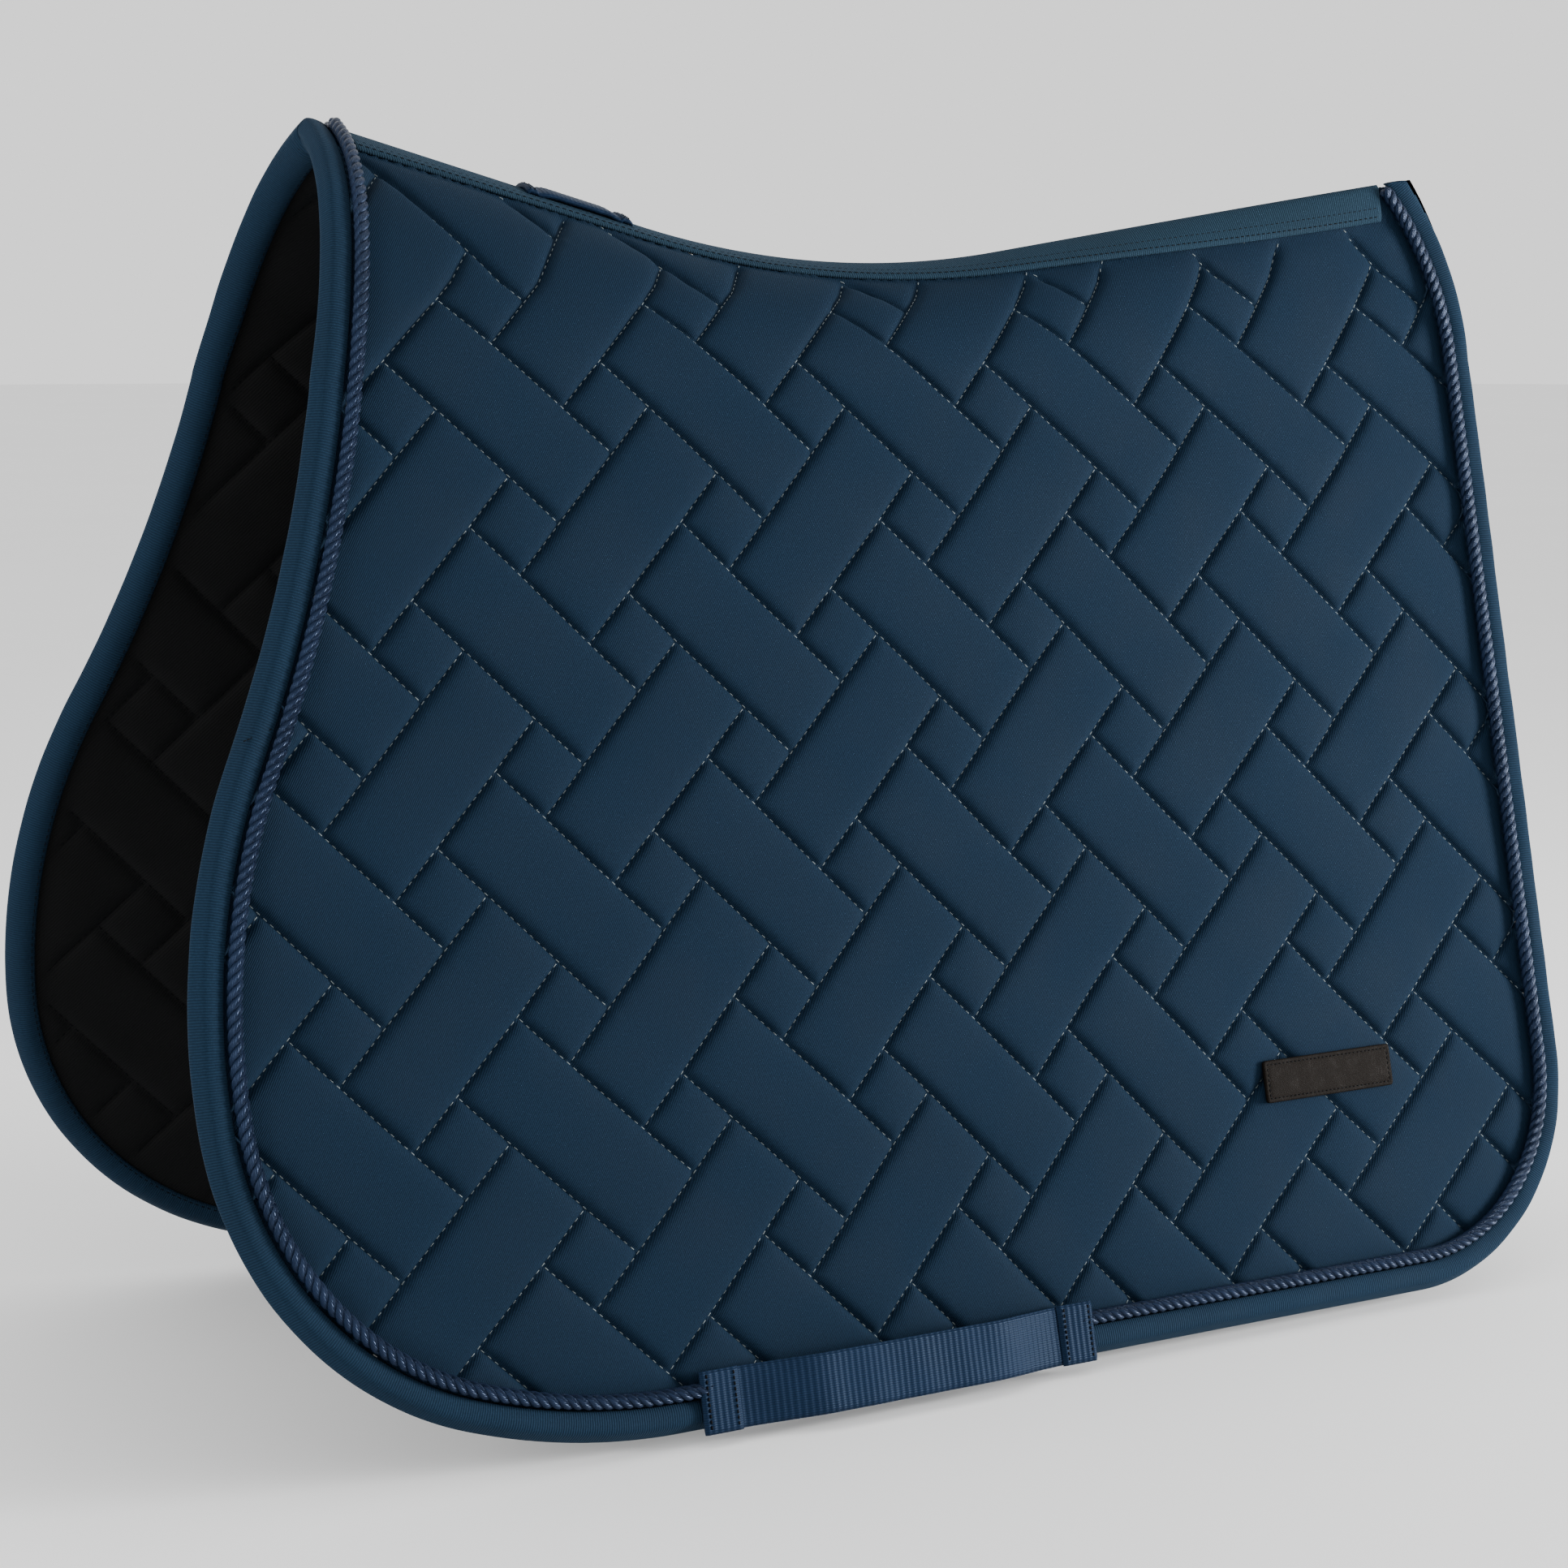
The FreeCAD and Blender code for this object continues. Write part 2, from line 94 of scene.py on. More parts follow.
# ends of the arch, seen from the side
WITHERS_EDGE_X = -300.0
WITHERS_EDGE_LEAN = math.radians(12.2)
LOIN_EDGE_X = 304.5
LOIN_EDGE_RADIUS = 144.0

# outline of a flap: tangent arcs down the front, then a straight bottom and rear
FLAP_FRONT = -302.0
FLAP_FRONT_HEADING = 13.0
FLAP_TURNS = (13.5, -30.0, -67.0)
FLAP_RADII = (650.0, 280.0, 146.0, 290.0)
FLAP_REAR = 307.0
REAR_CORNER_RADIUS = 100.0

# panel, binding and rope
PANEL_DEPTH = 10.0
BINDING_WIDTH = 13.0
ROPE_DIAMETER = 6.5
ROPE_INSET = BINDING_WIDTH + 0.2 + ROPE_DIAMETER / 2
TAPE_HALF_WIDTH = 17.0
SEAM_TAPE_HALF_WIDTH = 14.0
TAB_FRONT, TAB_LENGTH, TAB_HALF_WIDTH = -177.0, 48.0, 9.0
JOIN_PLACE, JOIN_SLANT = 292.0, 9.0
TAPE_SEAMS = (("outer", 15.2), ("inner", 11.0))

# quilting: small squares on a lattice, and long rectangles that weave round them
LATTICE_ORIGIN = (-167.4, 10.0)
LATTICE_TURN = math.radians(46.0)
LATTICE_PITCH = 70.0
SQUARE = 29.0
STRIP = LATTICE_PITCH - SQUARE
RECTANGLE_LENGTH = LATTICE_PITCH + SQUARE
ARCH_LEAN, REAR_LEAN, BOTTOM_PULL = 4.0, 15.0, 5.0
ARCH_DROP, SPINE_STRETCH, SPINE_STRETCH_FROM = 3.0, 0.5, -45.0
OUTER_ROLL, LINING_ROLL, LINING_SHARE = 8.5, 12.0, 0.6
UNDER_BINDING, UNDER_TAPE, BESIDE_TAPE = -1.6, -0.4, -1.7
LINING_EDGE = PANEL_DEPTH - 0.9

# girth loop and patch
LOOP_FRONT, LOOP_LENGTH = -183.0, 197.0
LOOP_TOP, WEBBING_WIDTH, WEBBING_THICKNESS = 407.5, 25.0, 1.6
LOOP_END, LOOP_RAMP, LOOP_STANDOFF, LOOP_SEAT = 18.0, 42.0, 8.5, 2.0
PATCH_FRONT, PATCH_TOP, PATCH_LENGTH, PATCH_WIDTH = 126.5, 316.2, 74.0, 19.0

# stage, in metres and degrees: label, azimuth, elevation, distance and size of each light
LIGHT_TARGET = (-0.03, 0.0, -0.2)
LIGHTS = (("Key", 62.0, 4.0, 2.2, 0.8), ("Fill", -78.0, 14.0, 2.2, 1.4))
SKY_STRENGTH = 1.3
CAMERA_TARGET = (-0.0547, 0.0, -0.2212)
SENSOR_WIDTH = 36.0
FLOOR_RADIUS, FLOOR_SEGMENTS, FLOOR_DROP = 14.0, 96, 4.0


# ------------------------------------------------------------------------------- shape of the pad

def smooth(low, high, value):
    """0 below low, 1 above high, and an even ease between."""
    t = np.clip((value - low) / (high - low), 0.0, 1.0)
    return t * t * (3.0 - 2.0 * t)


def spine_height(x):
    """Height of the outer fabric on the spine: two slopes joined by one arc."""
    tangent = SPINE_RADIUS * math.tan((WITHERS_SLOPE + LOIN_SLOPE) / 2)
    start_x = SPINE_CORNER[0] - tangent * math.cos(WITHERS_SLOPE)
    start_z = SPINE_CORNER[1] + tangent * math.sin(WITHERS_SLOPE)
    end_x = SPINE_CORNER[0] + tangent * math.cos(LOIN_SLOPE)
    end_z = SPINE_CORNER[1] + tangent * math.sin(LOIN_SLOPE)
    centre_x = start_x + SPINE_RADIUS * math.sin(WITHERS_SLOPE)
    centre_z = start_z + SPINE_RADIUS * math.cos(WITHERS_SLOPE)
    inside = np.clip(x - centre_x, start_x - centre_x, end_x - centre_x)
    height = centre_z - np.sqrt(SPINE_RADIUS ** 2 - inside ** 2)
    height = np.where(x < start_x, start_z + (start_x - x) * math.tan(WITHERS_SLOPE), height)
    return np.where(x > end_x, end_z + (x - end_x) * math.tan(LOIN_SLOPE), height)


def arch_point(x, rise):
    """Half of the arch's section at x, rise millimetres above the fold line.

    Returns y, z, the outward normal's y and z, and the length of the whole half section.
    """
    top = spine_height(x)
    foot_y = FOLD_HALF_WIDTH - x * math.tan(TOE_IN)
    knee_z = FOLD_HEIGHT + ARCH_FULLNESS * (top - FOLD_HEIGHT)
    slant = math.tan(FLARE) / math.cos(TOE_IN)
    knee_y = np.maximum(foot_y - slant * (knee_z - FOLD_HEIGHT), 0.5)
    steps = 32
    t = np.linspace(0.0, 1.0, steps + 1)
    y = np.outer(foot_y, (1 - t) ** 2) + np.outer(knee_y, 2 * t * (1 - t))
    z = (np.outer(np.full_like(top, FOLD_HEIGHT), (1 - t) ** 2)
         + np.outer(knee_z, 2 * t * (1 - t)) + np.outer(top, t ** 2))
    travel = np.zeros_like(y)
    travel[:, 1:] = np.cumsum(np.hypot(np.diff(y), np.diff(z)), axis=1)
    whole = travel[:, -1]
    want = np.clip(rise, 0.0, whole)
    k = np.clip((travel[:, 1:] < want[:, None]).sum(axis=1), 0, steps - 1)
    row = np.arange(len(k))
    before, after = travel[row, k], travel[row, k + 1]
    t = (k + (want - before) / (after - before)) / steps
    y = foot_y * (1 - t) ** 2 + knee_y * 2 * t * (1 - t)
    z = FOLD_HEIGHT * (1 - t) ** 2 + knee_z * 2 * t * (1 - t) + top * t ** 2
    along_y = (knee_y - foot_y) * (1 - t) - knee_y * t
    along_z = (knee_z - FOLD_HEIGHT) * (1 - t) + (top - knee_z) * t
    size = np.hypot(along_y, along_z)
    return y, z, along_z / size, -along_y / size, whole


def flap_axes():
    """Unit vectors of a flap: along the fold line, down the flap and outward, for +Y."""
    along = np.array((math.cos(TOE_IN), -math.sin(TOE_IN), 0.0))
    outward = np.array((math.sin(TOE_IN) * math.cos(FLARE), math.cos(TOE_IN) * math.cos(FLARE),
                        math.sin(FLARE)))
    down = np.cross(outward, along)
    return along, down, outward


ALONG, DOWN, OUTWARD = flap_axes()


def arch_x(u, w):
    """Place along the pad of a point above the fold line."""
    return u * ALONG[0] + w * DOWN[0]


def surface(side, u, w, n):
    """Points in millimetres for places (u, w, n) on one side of the pad."""
    u, w, n = np.broadcast_arrays(*(np.asarray(v, float) for v in (u, w, n)))
    shape = u.shape
    u, w, n = u.ravel(), w.ravel(), n.ravel()
    fold = np.array((0.0, FOLD_HALF_WIDTH, FOLD_HEIGHT))
    flap = fold + np.outer(u, ALONG) + np.outer(w, DOWN) + np.outer(n, OUTWARD)
    x = arch_x(u, w)
    y, z, normal_y, normal_z, _ = arch_point(x, -w)
    shift = n * OUTWARD[0] * smooth(-30.0, 0.0, w)
    arch = np.stack((x + shift, y + n * normal_y, z + n * normal_z), axis=1)
    points = np.where((w < 0)[:, None], arch, flap)
    points[:, 1] = side * np.maximum(points[:, 1], MIDDLE_GAP)
    return points.reshape(shape + (3,))


def spine_w(u):
    """w of the spine: minus the length of the arch above the fold line."""
    u = np.atleast_1d(np.asarray(u, float))
    w = np.full_like(u, -70.0)
    for _ in range(4):
        w = -arch_point(arch_x(u, w), np.zeros_like(u))[4]
    return w


def arch_edge_u(w, at_withers):
    """u of the pad's cut end for places above the fold line."""
    u = np.full_like(w, FLAP_FRONT if at_withers else FLAP_REAR)
    for _ in range(8):
        x = arch_x(u, w)
        z = arch_point(x, -w)[1]
        if at_withers:
            want = WITHERS_EDGE_X + math.tan(WITHERS_EDGE_LEAN) * (z - FOLD_HEIGHT)
        else:
            drop = np.clip(z - FOLD_HEIGHT, 0.0, LOIN_EDGE_RADIUS * 0.95)
            want = (LOIN_EDGE_X - LOIN_EDGE_RADIUS
                    + np.sqrt(LOIN_EDGE_RADIUS ** 2 - drop ** 2))
        u = u + (want - x) / ALONG[0]
    return u


def arch_end(at_withers):
    """The pad's cut end from the fold line up to the spine, as rows of (u, w)."""
    top = -80.0
    for _ in range(6):
        edge = arch_edge_u(np.array((float(top),)), at_withers)
        top = float(spine_w(edge)[0])
    w = np.linspace(-1.0, top, 60)
    return np.stack((arch_edge_u(w, at_withers), w), axis=1)


def flap_edge():
    """The free edge of a flap from the fold line at the front round to the rear, as (u, w)."""
    turns = FLAP_TURNS + (-90.0 - FLAP_FRONT_HEADING - sum(FLAP_TURNS),)
    point = np.array((FLAP_FRONT, 0.0))
    heading = math.radians(FLAP_FRONT_HEADING)
    rows = [point]
    for turn, radius in zip(turns, FLAP_RADII):
        steps = max(4, int(abs(math.radians(turn)) * radius / 2.0))
        for _ in range(steps):
            half = math.radians(turn) / steps / 2
            chord = 2 * radius * math.sin(abs(half))
            heading += half
            point = point + chord * np.array((-math.sin(heading), math.cos(heading)))
            heading += half
            rows.append(point)
    bottom = rows[-1][1]
    corner = np.array((FLAP_REAR - REAR_CORNER_RADIUS, bottom - REAR_CORNER_RADIUS))
    for angle in np.linspace(math.pi / 2, 0.0, 60):
        rows.append(corner + REAR_CORNER_RADIUS * np.array((math.cos(angle), math.sin(angle))))
    rows.append(np.array((FLAP_REAR, 0.0)))
    return np.array(rows)


def even_steps(points, step):
    """Points a step apart on a line through the given ones, with their distance along it."""
    travel = np.concatenate(([0.0], np.cumsum(np.hypot(*np.diff(points, axis=0).T))))
    count = max(2, int(round(travel[-1] / step)))
    want = np.linspace(0.0, travel[-1], count + 1)
    return np.stack([np.interp(want, travel, axis) for axis in points.T], axis=1), want


def whole_edge():
    """The pad's edge from the spine at the withers round one flap to the spine at the loins."""
    return np.concatenate((arch_end(True)[::-1], flap_edge(), arch_end(False)))


EDGE = whole_edge()
EDGE_OVERRUN = 8.0


def edge_path(step, overrun=EDGE_OVERRUN):
    """Even points of the edge, the unit vector into the pad at each, and the distance along."""
    start = EDGE[0] + (EDGE[0] - EDGE[3]) / np.hypot(*(EDGE[0] - EDGE[3])) * overrun
    end = EDGE[-1] + (EDGE[-1] - EDGE[-4]) / np.hypot(*(EDGE[-1] - EDGE[-4])) * overrun
    points, travel = even_steps(np.concatenate(([start], EDGE, [end])), 1.0)
    ahead = np.gradient(points, axis=0)
    kernel = np.ones(15) / 15.0
    padded = np.pad(ahead, ((7, 7), (0, 0)), mode="edge")
    ahead = np.stack([np.convolve(axis, kernel, "valid") for axis in padded.T], axis=1)
    ahead /= np.hypot(*ahead.T)[:, None]
    want = np.linspace(0.0, travel[-1], int(round(travel[-1] / step)) + 1)
    point = np.stack([np.interp(want, travel, axis) for axis in points.T], axis=1)
    inward = np.stack((np.interp(want, travel, ahead[:, 1]),
                       -np.interp(want, travel, ahead[:, 0])), axis=1)
    return point, inward, want


def inset_outline(inset, spine_inset):
    """Closed outline of a panel, inset from the free edge and from the spine."""
    point, inward, _ = edge_path(2.0)
    ring = point + inward * inset
    ring = ring[ring[:, 1] > spine_w(ring[:, 0]) + spine_inset]
    spine_u = np.linspace(ring[-1, 0], ring[0, 0], 200)[1:-1]
    spine = np.stack((spine_u, spine_w(spine_u) + spine_inset), axis=1)
    return np.concatenate((ring, spine))


def inside(outline, u, w):
    """Whether each place lies inside a closed outline."""
    within = np.zeros(len(u), bool)
    u0, w0 = outline[-1]
    for u1, w1 in outline:
        if w0 != w1:
            crosses = (w0 > w) != (w1 > w)
            within ^= crosses & (u < (u1 - u0) * (w - w0) / (w1 - w0) + u0)
        u0, w0 = u1, w1
    return within


def nearest(line, places):
    """Distance and nearest point on a finely divided line for each place (u, w)."""
    fine, _ = even_steps(line, 0.5)
    tree = kdtree.KDTree(len(fine))
    for index, (u, w) in enumerate(fine):
        tree.insert((u, w, 0.0), index)
    tree.balance()
    found = [tree.find((u, w, 0.0)) for u, w in places]
    return np.array([hit[2] for hit in found]), fine[[hit[1] for hit in found]]


def ripple(u, w, wavelength, seed):
    """Even, repeatable unevenness between about -1 and 1."""
    rng = np.random.default_rng(seed)
    total = np.zeros(np.shape(u))
    for _ in range(6):
        angle, phase = rng.uniform(0.0, math.tau, 2)
        k = math.tau / (wavelength * rng.uniform(0.7, 1.4))
        total = total + np.sin(k * (u * math.cos(angle) + w * math.sin(angle)) + phase)
    return total / 3.0


# --------------------------------------------------------------------------------------- quilting

def lattice_place(a, b):
    """(u, w) of a place (a, b) on the quilting lattice.

    The lattice leans forward over the arch, most at the rear, is drawn out towards the spine, and
    is pulled a little to and fro along the bottom.  The rest is the small drift of real sewing.
    """
    u = LATTICE_ORIGIN[0] + a * math.cos(LATTICE_TURN) - b * math.sin(LATTICE_TURN)
    w = LATTICE_ORIGIN[1] + a * math.sin(LATTICE_TURN) + b * math.cos(LATTICE_TURN)
    over = np.clip((70.0 - w) / 105.0, 0.0, 1.4)
    to_rear = np.clip((u + 216.0) / 400.0, 0.0, 1.0)
    pull = BOTTOM_PULL * smooth(180.0, 400.0, w) * np.cos(math.pi * (u - 110.0) / 230.0)
    u = u - ARCH_LEAN * over - REAR_LEAN * to_rear * over ** 2 - pull
    w = w + ARCH_DROP * over ** 2
    w = w - SPINE_STRETCH * np.maximum(SPINE_STRETCH_FROM - w, 0.0)
    return u + 0.6 * ripple(a, b, 160.0, 3), w + 0.6 * ripple(a, b, 150.0, 4)


def seam_distances(a, b):
    """Distances to the nearest seams of the cell that holds (a, b), along a and along b."""
    i = np.floor((a + SQUARE / 2) / LATTICE_PITCH)
    j = np.floor((b + SQUARE / 2) / LATTICE_PITCH)
    in_a = a - i * LATTICE_PITCH + SQUARE / 2
    in_b = b - j * LATTICE_PITCH + SQUARE / 2
    odd = (i + j) % 2 == 1
    thin_a, thin_b = in_a < SQUARE, in_b < SQUARE
    half_pitch = LATTICE_PITCH / 2
    centre_a = i * LATTICE_PITCH + np.where(thin_a & ~odd, -half_pitch, half_pitch)
    centre_b = j * LATTICE_PITCH + np.where(thin_b & odd, -half_pitch, half_pitch)
    long_a = (thin_a & ~thin_b) | (~thin_a & ~thin_b & odd)
    far = RECTANGLE_LENGTH / 2 - np.abs(np.where(long_a, a - centre_a, b - centre_b))
    near = STRIP / 2 - np.abs(np.where(long_a, b - centre_b, a - centre_a))
    square = thin_a & thin_b
    by_a = np.where(square, np.minimum(in_a, SQUARE - in_a), np.where(long_a, far, near))
    by_b = np.where(square, np.minimum(in_b, SQUARE - in_b), np.where(long_a, near, far))
    return np.maximum(by_a, 0.0), np.maximum(by_b, 0.0)


def puff(a, b, roll):
    """Fullness of the quilting: 0 on a seam, near 1 once past the roll beside it."""
    fullness = 1.0
    for distance in seam_distances(a, b):
        tight = 1.0 - (1.0 - np.minimum(distance / (0.42 * roll), 1.0)) ** 2.4
        rolled = 1.0 - (1.0 - np.minimum(distance / roll, 1.0)) ** 2.2
        broad = 1.0 - (1.0 - np.minimum(distance / (2.2 * roll), 1.0)) ** 2.0
        fullness = fullness * (0.54 * tight + 0.22 * rolled + 0.24 * broad)
    return fullness


def edge_fields(u, w):
    """Distance of each place from the free edge and from the spine."""
    from_edge, _ = nearest(EDGE, np.stack((u, w), axis=1))
    return from_edge, w - spine_w(u)


def outer_height(a, b, u, w, depth, fields):
    """n of the outer fabric: quilted, and held down along the binding and the spine."""
    from_edge, from_spine = fields
    by_a, by_b = seam_distances(a, b)
    seam = np.minimum(by_a, by_b)
    n = -depth * (1.0 - puff(a, b, OUTER_ROLL))
    n = n - 0.28 * (ripple(a, b, 60.0, 11) + 1.0)
    n = n + 0.30 * ripple(a, b, 7.5, 12) * np.exp(-seam / 4.0) * smooth(0.0, 1.2, seam)
    held = 1.0 - smooth(ROPE_INSET - 1.0, ROPE_INSET + 12.0, from_edge)
    n = n * (1.0 - held) + held * np.minimum(n, -1.5)
    n = np.where(from_edge < BINDING_WIDTH, UNDER_BINDING, n)
    beside_tape = 1.0 - smooth(TAPE_HALF_WIDTH, TAPE_HALF_WIDTH + 9.0, from_spine)
    n = n * (1.0 - beside_tape) + BESIDE_TAPE * beside_tape
    return np.where(from_spine < TAPE_HALF_WIDTH - 1.0, UNDER_TAPE, n)


def lining_height(a, b, depth, fields):
    """n of the lining: the same seams pressed in from the horse's side."""
    from_edge, from_spine = fields
    n = -PANEL_DEPTH + LINING_SHARE * depth * (1.0 - puff(a, b, LINING_ROLL))
    n = n + 0.2 * ripple(a, b, 40.0, 21)
    held = 1.0 - smooth(BINDING_WIDTH, BINDING_WIDTH + 13.0, from_edge)
    return n * (1.0 - held) - LINING_EDGE * held


def graded(width, count):
    """Distances across a strip, close together beside its seams."""
    i = np.arange(count) / count
    return width * (0.35 * i + 0.65 * 0.5 * (1.0 - np.cos(math.pi * i)))


def lattice_lines(low, high, square_steps, strip_steps):
    """Grid lines of the lattice between two values; every seam is on one of them."""
    period = np.concatenate((graded(SQUARE, square_steps),
                             SQUARE + graded(STRIP, strip_steps))) - SQUARE / 2
    first, last = math.floor(low / LATTICE_PITCH), math.ceil(high / LATTICE_PITCH)
    lines = np.concatenate([period + k * LATTICE_PITCH for k in range(first, last + 1)])
    return lines[(lines > low) & (lines < high)]


def quilted_grid(square_steps, strip_steps, inset, spine_inset):
    """Grid along the quilting, trimmed to the panel.

    Returns a, b, u and w of the vertices, and the quads as rows of four indices.
    """
    outline = inset_outline(inset, spine_inset)
    offset = outline - np.array(LATTICE_ORIGIN)
    turned_a = offset @ np.array((math.cos(LATTICE_TURN), math.sin(LATTICE_TURN)))
    turned_b = offset @ np.array((-math.sin(LATTICE_TURN), math.cos(LATTICE_TURN)))
    lines_a = lattice_lines(turned_a.min() - 30, turned_a.max() + 30, square_steps, strip_steps)
    lines_b = lattice_lines(turned_b.min() - 30, turned_b.max() + 30, square_steps, strip_steps)
    a, b = (grid.ravel() for grid in np.meshgrid(lines_a, lines_b, indexing="ij"))
    u, w = lattice_place(a, b)
    within = inside(outline, u, w)
    index = np.arange(len(a)).reshape(len(lines_a), len(lines_b))
    quads = np.stack((index[:-1, :-1], index[1:, :-1], index[1:, 1:], index[:-1, 1:]),
                     axis=-1).reshape(-1, 4)
    touched = within[quads].sum(axis=1)
    quads = quads[touched >= 2]
    outside = np.setdiff1d(np.unique(quads), np.flatnonzero(within))
    closed = np.concatenate((outline, outline[:1]))
    _, onto = nearest(closed, np.stack((u[outside], w[outside]), axis=1))
    u[outside], w[outside] = onto[:, 0], onto[:, 1]
    used, flat = np.unique(quads, return_inverse=True)
    return a[used], b[used], u[used], w[used], flat.reshape(-1, 4)


def seam_lines():
    """Every sewn line of the quilting as (a, b, runs along a) of its middle."""
    reach = 8
    rows = []
    for i in range(-reach, reach + 1):
        for j in range(-reach, reach + 1):
            centre = ((i + 0.5) * LATTICE_PITCH, (j + 0.5) * LATTICE_PITCH)
            for edge in (-STRIP / 2, STRIP / 2):
                if (i + j) % 2:
                    rows.append((centre[0], centre[1] + edge, True))
                else:
                    rows.append((centre[0] + edge, centre[1], False))
    return rows


# ---------------------------------------------------------------------------------- mesh writing

def write_mesh(name, points, faces, cloth=None, material=None, clean=0.0, weld_faces=True):
    """A mesh object from points in millimetres, with cloth coordinates in metres."""
    mesh = bpy.data.meshes.new(name)
    mesh.from_pydata((np.asarray(points) * MM).tolist(), [], [tuple(f) for f in faces])
    if cloth is not None:
        attribute = mesh.attributes.new("cloth", "FLOAT_VECTOR", "POINT")
        attribute.data.foreach_set("vector", (np.asarray(cloth) * MM).astype(np.float32).ravel())
    bm = bmesh.new()
    bm.from_mesh(mesh)
    if clean:
        bmesh.ops.remove_doubles(bm, verts=bm.verts, dist=clean * MM)
        bmesh.ops.dissolve_degenerate(bm, edges=bm.edges, dist=clean * MM)
    if weld_faces:
        bmesh.ops.recalc_face_normals(bm, faces=bm.faces)
    bm.to_mesh(mesh)
    bm.free()
    mesh.polygons.foreach_set("use_smooth", np.ones(len(mesh.polygons), bool))
    mesh.validate()
    piece = bpy.data.objects.new(name, mesh)
    bpy.context.scene.collection.objects.link(piece)
    if material is not None:
        mesh.materials.append(material)
    return piece


def grid_faces(rows, columns, wrap_columns=False, caps=False):
    """Quads over a grid of rows and columns, closed round the columns and at the ends."""
    faces = []
    last = columns if wrap_columns else columns - 1
    for i in range(rows - 1):
        for j in range(last):
            k = (j + 1) % columns
            faces.append((i * columns + j, (i + 1) * columns + j, (i + 1) * columns + k,
                          i * columns + k))
    if caps:
        faces.append(tuple(range(columns)))
        faces.append(tuple((rows - 1) * columns + j for j in reversed(range(columns))))
    return faces


def face_sign(side, faces):
    """The faces turned so that those of one panel look outward."""
    return faces[:, ::-1] if side > 0 else faces


def rim_quads(quads, offset):
    """Quads that close a sheet of quads to its copy, offset vertices later."""
    edges = np.concatenate([quads[:, [k, (k + 1) % 4]] for k in range(4)])
    keys = np.sort(edges, axis=1)
    _, first, counts = np.unique(keys, axis=0, return_index=True, return_counts=True)
    rim = edges[first[counts == 1]]
    return np.stack((rim[:, 1], rim[:, 0], rim[:, 0] + offset, rim[:, 1] + offset), axis=1)


def smooth_loop(points, count):
    """Even points of a closed Catmull-Rom curve through the given ones."""
    points = np.asarray(points, float)
    fine = []
    size = len(points)
    for k in range(size):
        p0, p1, p2, p3 = (points[(k + d) % size] for d in (-1, 0, 1, 2))
        for t in np.linspace(0.0, 1.0, 9)[:-1]:
            fine.append(0.5 * (2 * p1 + (p2 - p0) * t + (2 * p0 - 5 * p1 + 4 * p2 - p3) * t ** 2
                               + (3 * p1 - p0 - 3 * p2 + p3) * t ** 3))
    fine = np.array(fine + [fine[0]])
    return even_steps(fine, np.hypot(*np.diff(fine, axis=0).T).sum() / count)[0][:-1]


def capsules(centres, along, outward, length, width, sink):
    """Points, faces and cloth coordinates of small stitches, each a bowed grain of thread."""
    sideways = np.cross(along, outward)
    stations = ((-0.5, 0.0, -sink), (-0.3, 1.0, 0.0), (0.3, 1.0, 0.0), (0.5, 0.0, -sink))
    ring = 5
    points, cloth = [], []
    for share, fat, drop in stations:
        middle = centres + along * (share * length) + outward * drop
        if fat == 0.0:
            points.append(middle[:, None, :])
            cloth.append(np.tile((share * length, 0.0, 0.0), (len(centres), 1, 1)))
            continue
        angle = np.arange(ring) * math.tau / ring
        round_it = (np.cos(angle)[None, :, None] * sideways[:, None, :]
                    + np.sin(angle)[None, :, None] * outward[:, None, :])
        points.append(middle[:, None, :] + round_it * (width / 2))
        across = np.stack((np.full(ring, share * length), angle * width / 2,
                           np.zeros(ring)), axis=1)
        cloth.append(np.tile(across, (len(centres), 1, 1)))
    points = np.concatenate(points, axis=1)
    cloth = np.concatenate(cloth, axis=1)
    per = 2 * ring + 2
    faces = []
    for k in range(ring):
        m = (k + 1) % ring
        faces.append((0, 1 + m, 1 + k))
        faces.append((1 + k, 1 + m, 1 + ring + m, 1 + ring + k))
        faces.append((1 + ring + k, 1 + ring + m, per - 1))
    every = [tuple(i + start for i in face)
             for start in range(0, per * len(centres), per) for face in faces]
    return points.reshape(-1, 3), every, cloth.reshape(-1, 3)


def merged(parts):
    """Several lots of (points, faces, cloth coordinates) as one lot."""
    points, faces, cloth, start = [], [], [], 0
    for part_points, part_faces, part_cloth in parts:
        points.append(part_points)
        faces += [tuple(i + start for i in face) for face in part_faces]
        cloth.append(part_cloth)
        start += len(part_points)
    return np.concatenate(points), faces, np.concatenate(cloth)


def unit(vectors):
    """The vectors at length 1."""
    return vectors / np.linalg.norm(vectors, axis=-1, keepdims=True)


def stitches(side, start_u, start_w, end_u, end_w, n, length, width, sink):
    """Stitches whose middles lie halfway between two places on the surface."""
    start = surface(side, start_u, start_w, n)
    end = surface(side, end_u, end_w, n)
    middle_u, middle_w = (start_u + end_u) / 2, (start_w + end_w) / 2
    centre = surface(side, middle_u, middle_w, n)
    above = surface(side, middle_u, middle_w, n + 1.0)
    along = unit(end - start)
    outward = unit(above - centre)
    outward = unit(outward - along * (outward * along).sum(axis=1, keepdims=True))
    return capsules(centre, along, outward, length, width, sink)


# -------------------------------------------------------------------------------------- materials

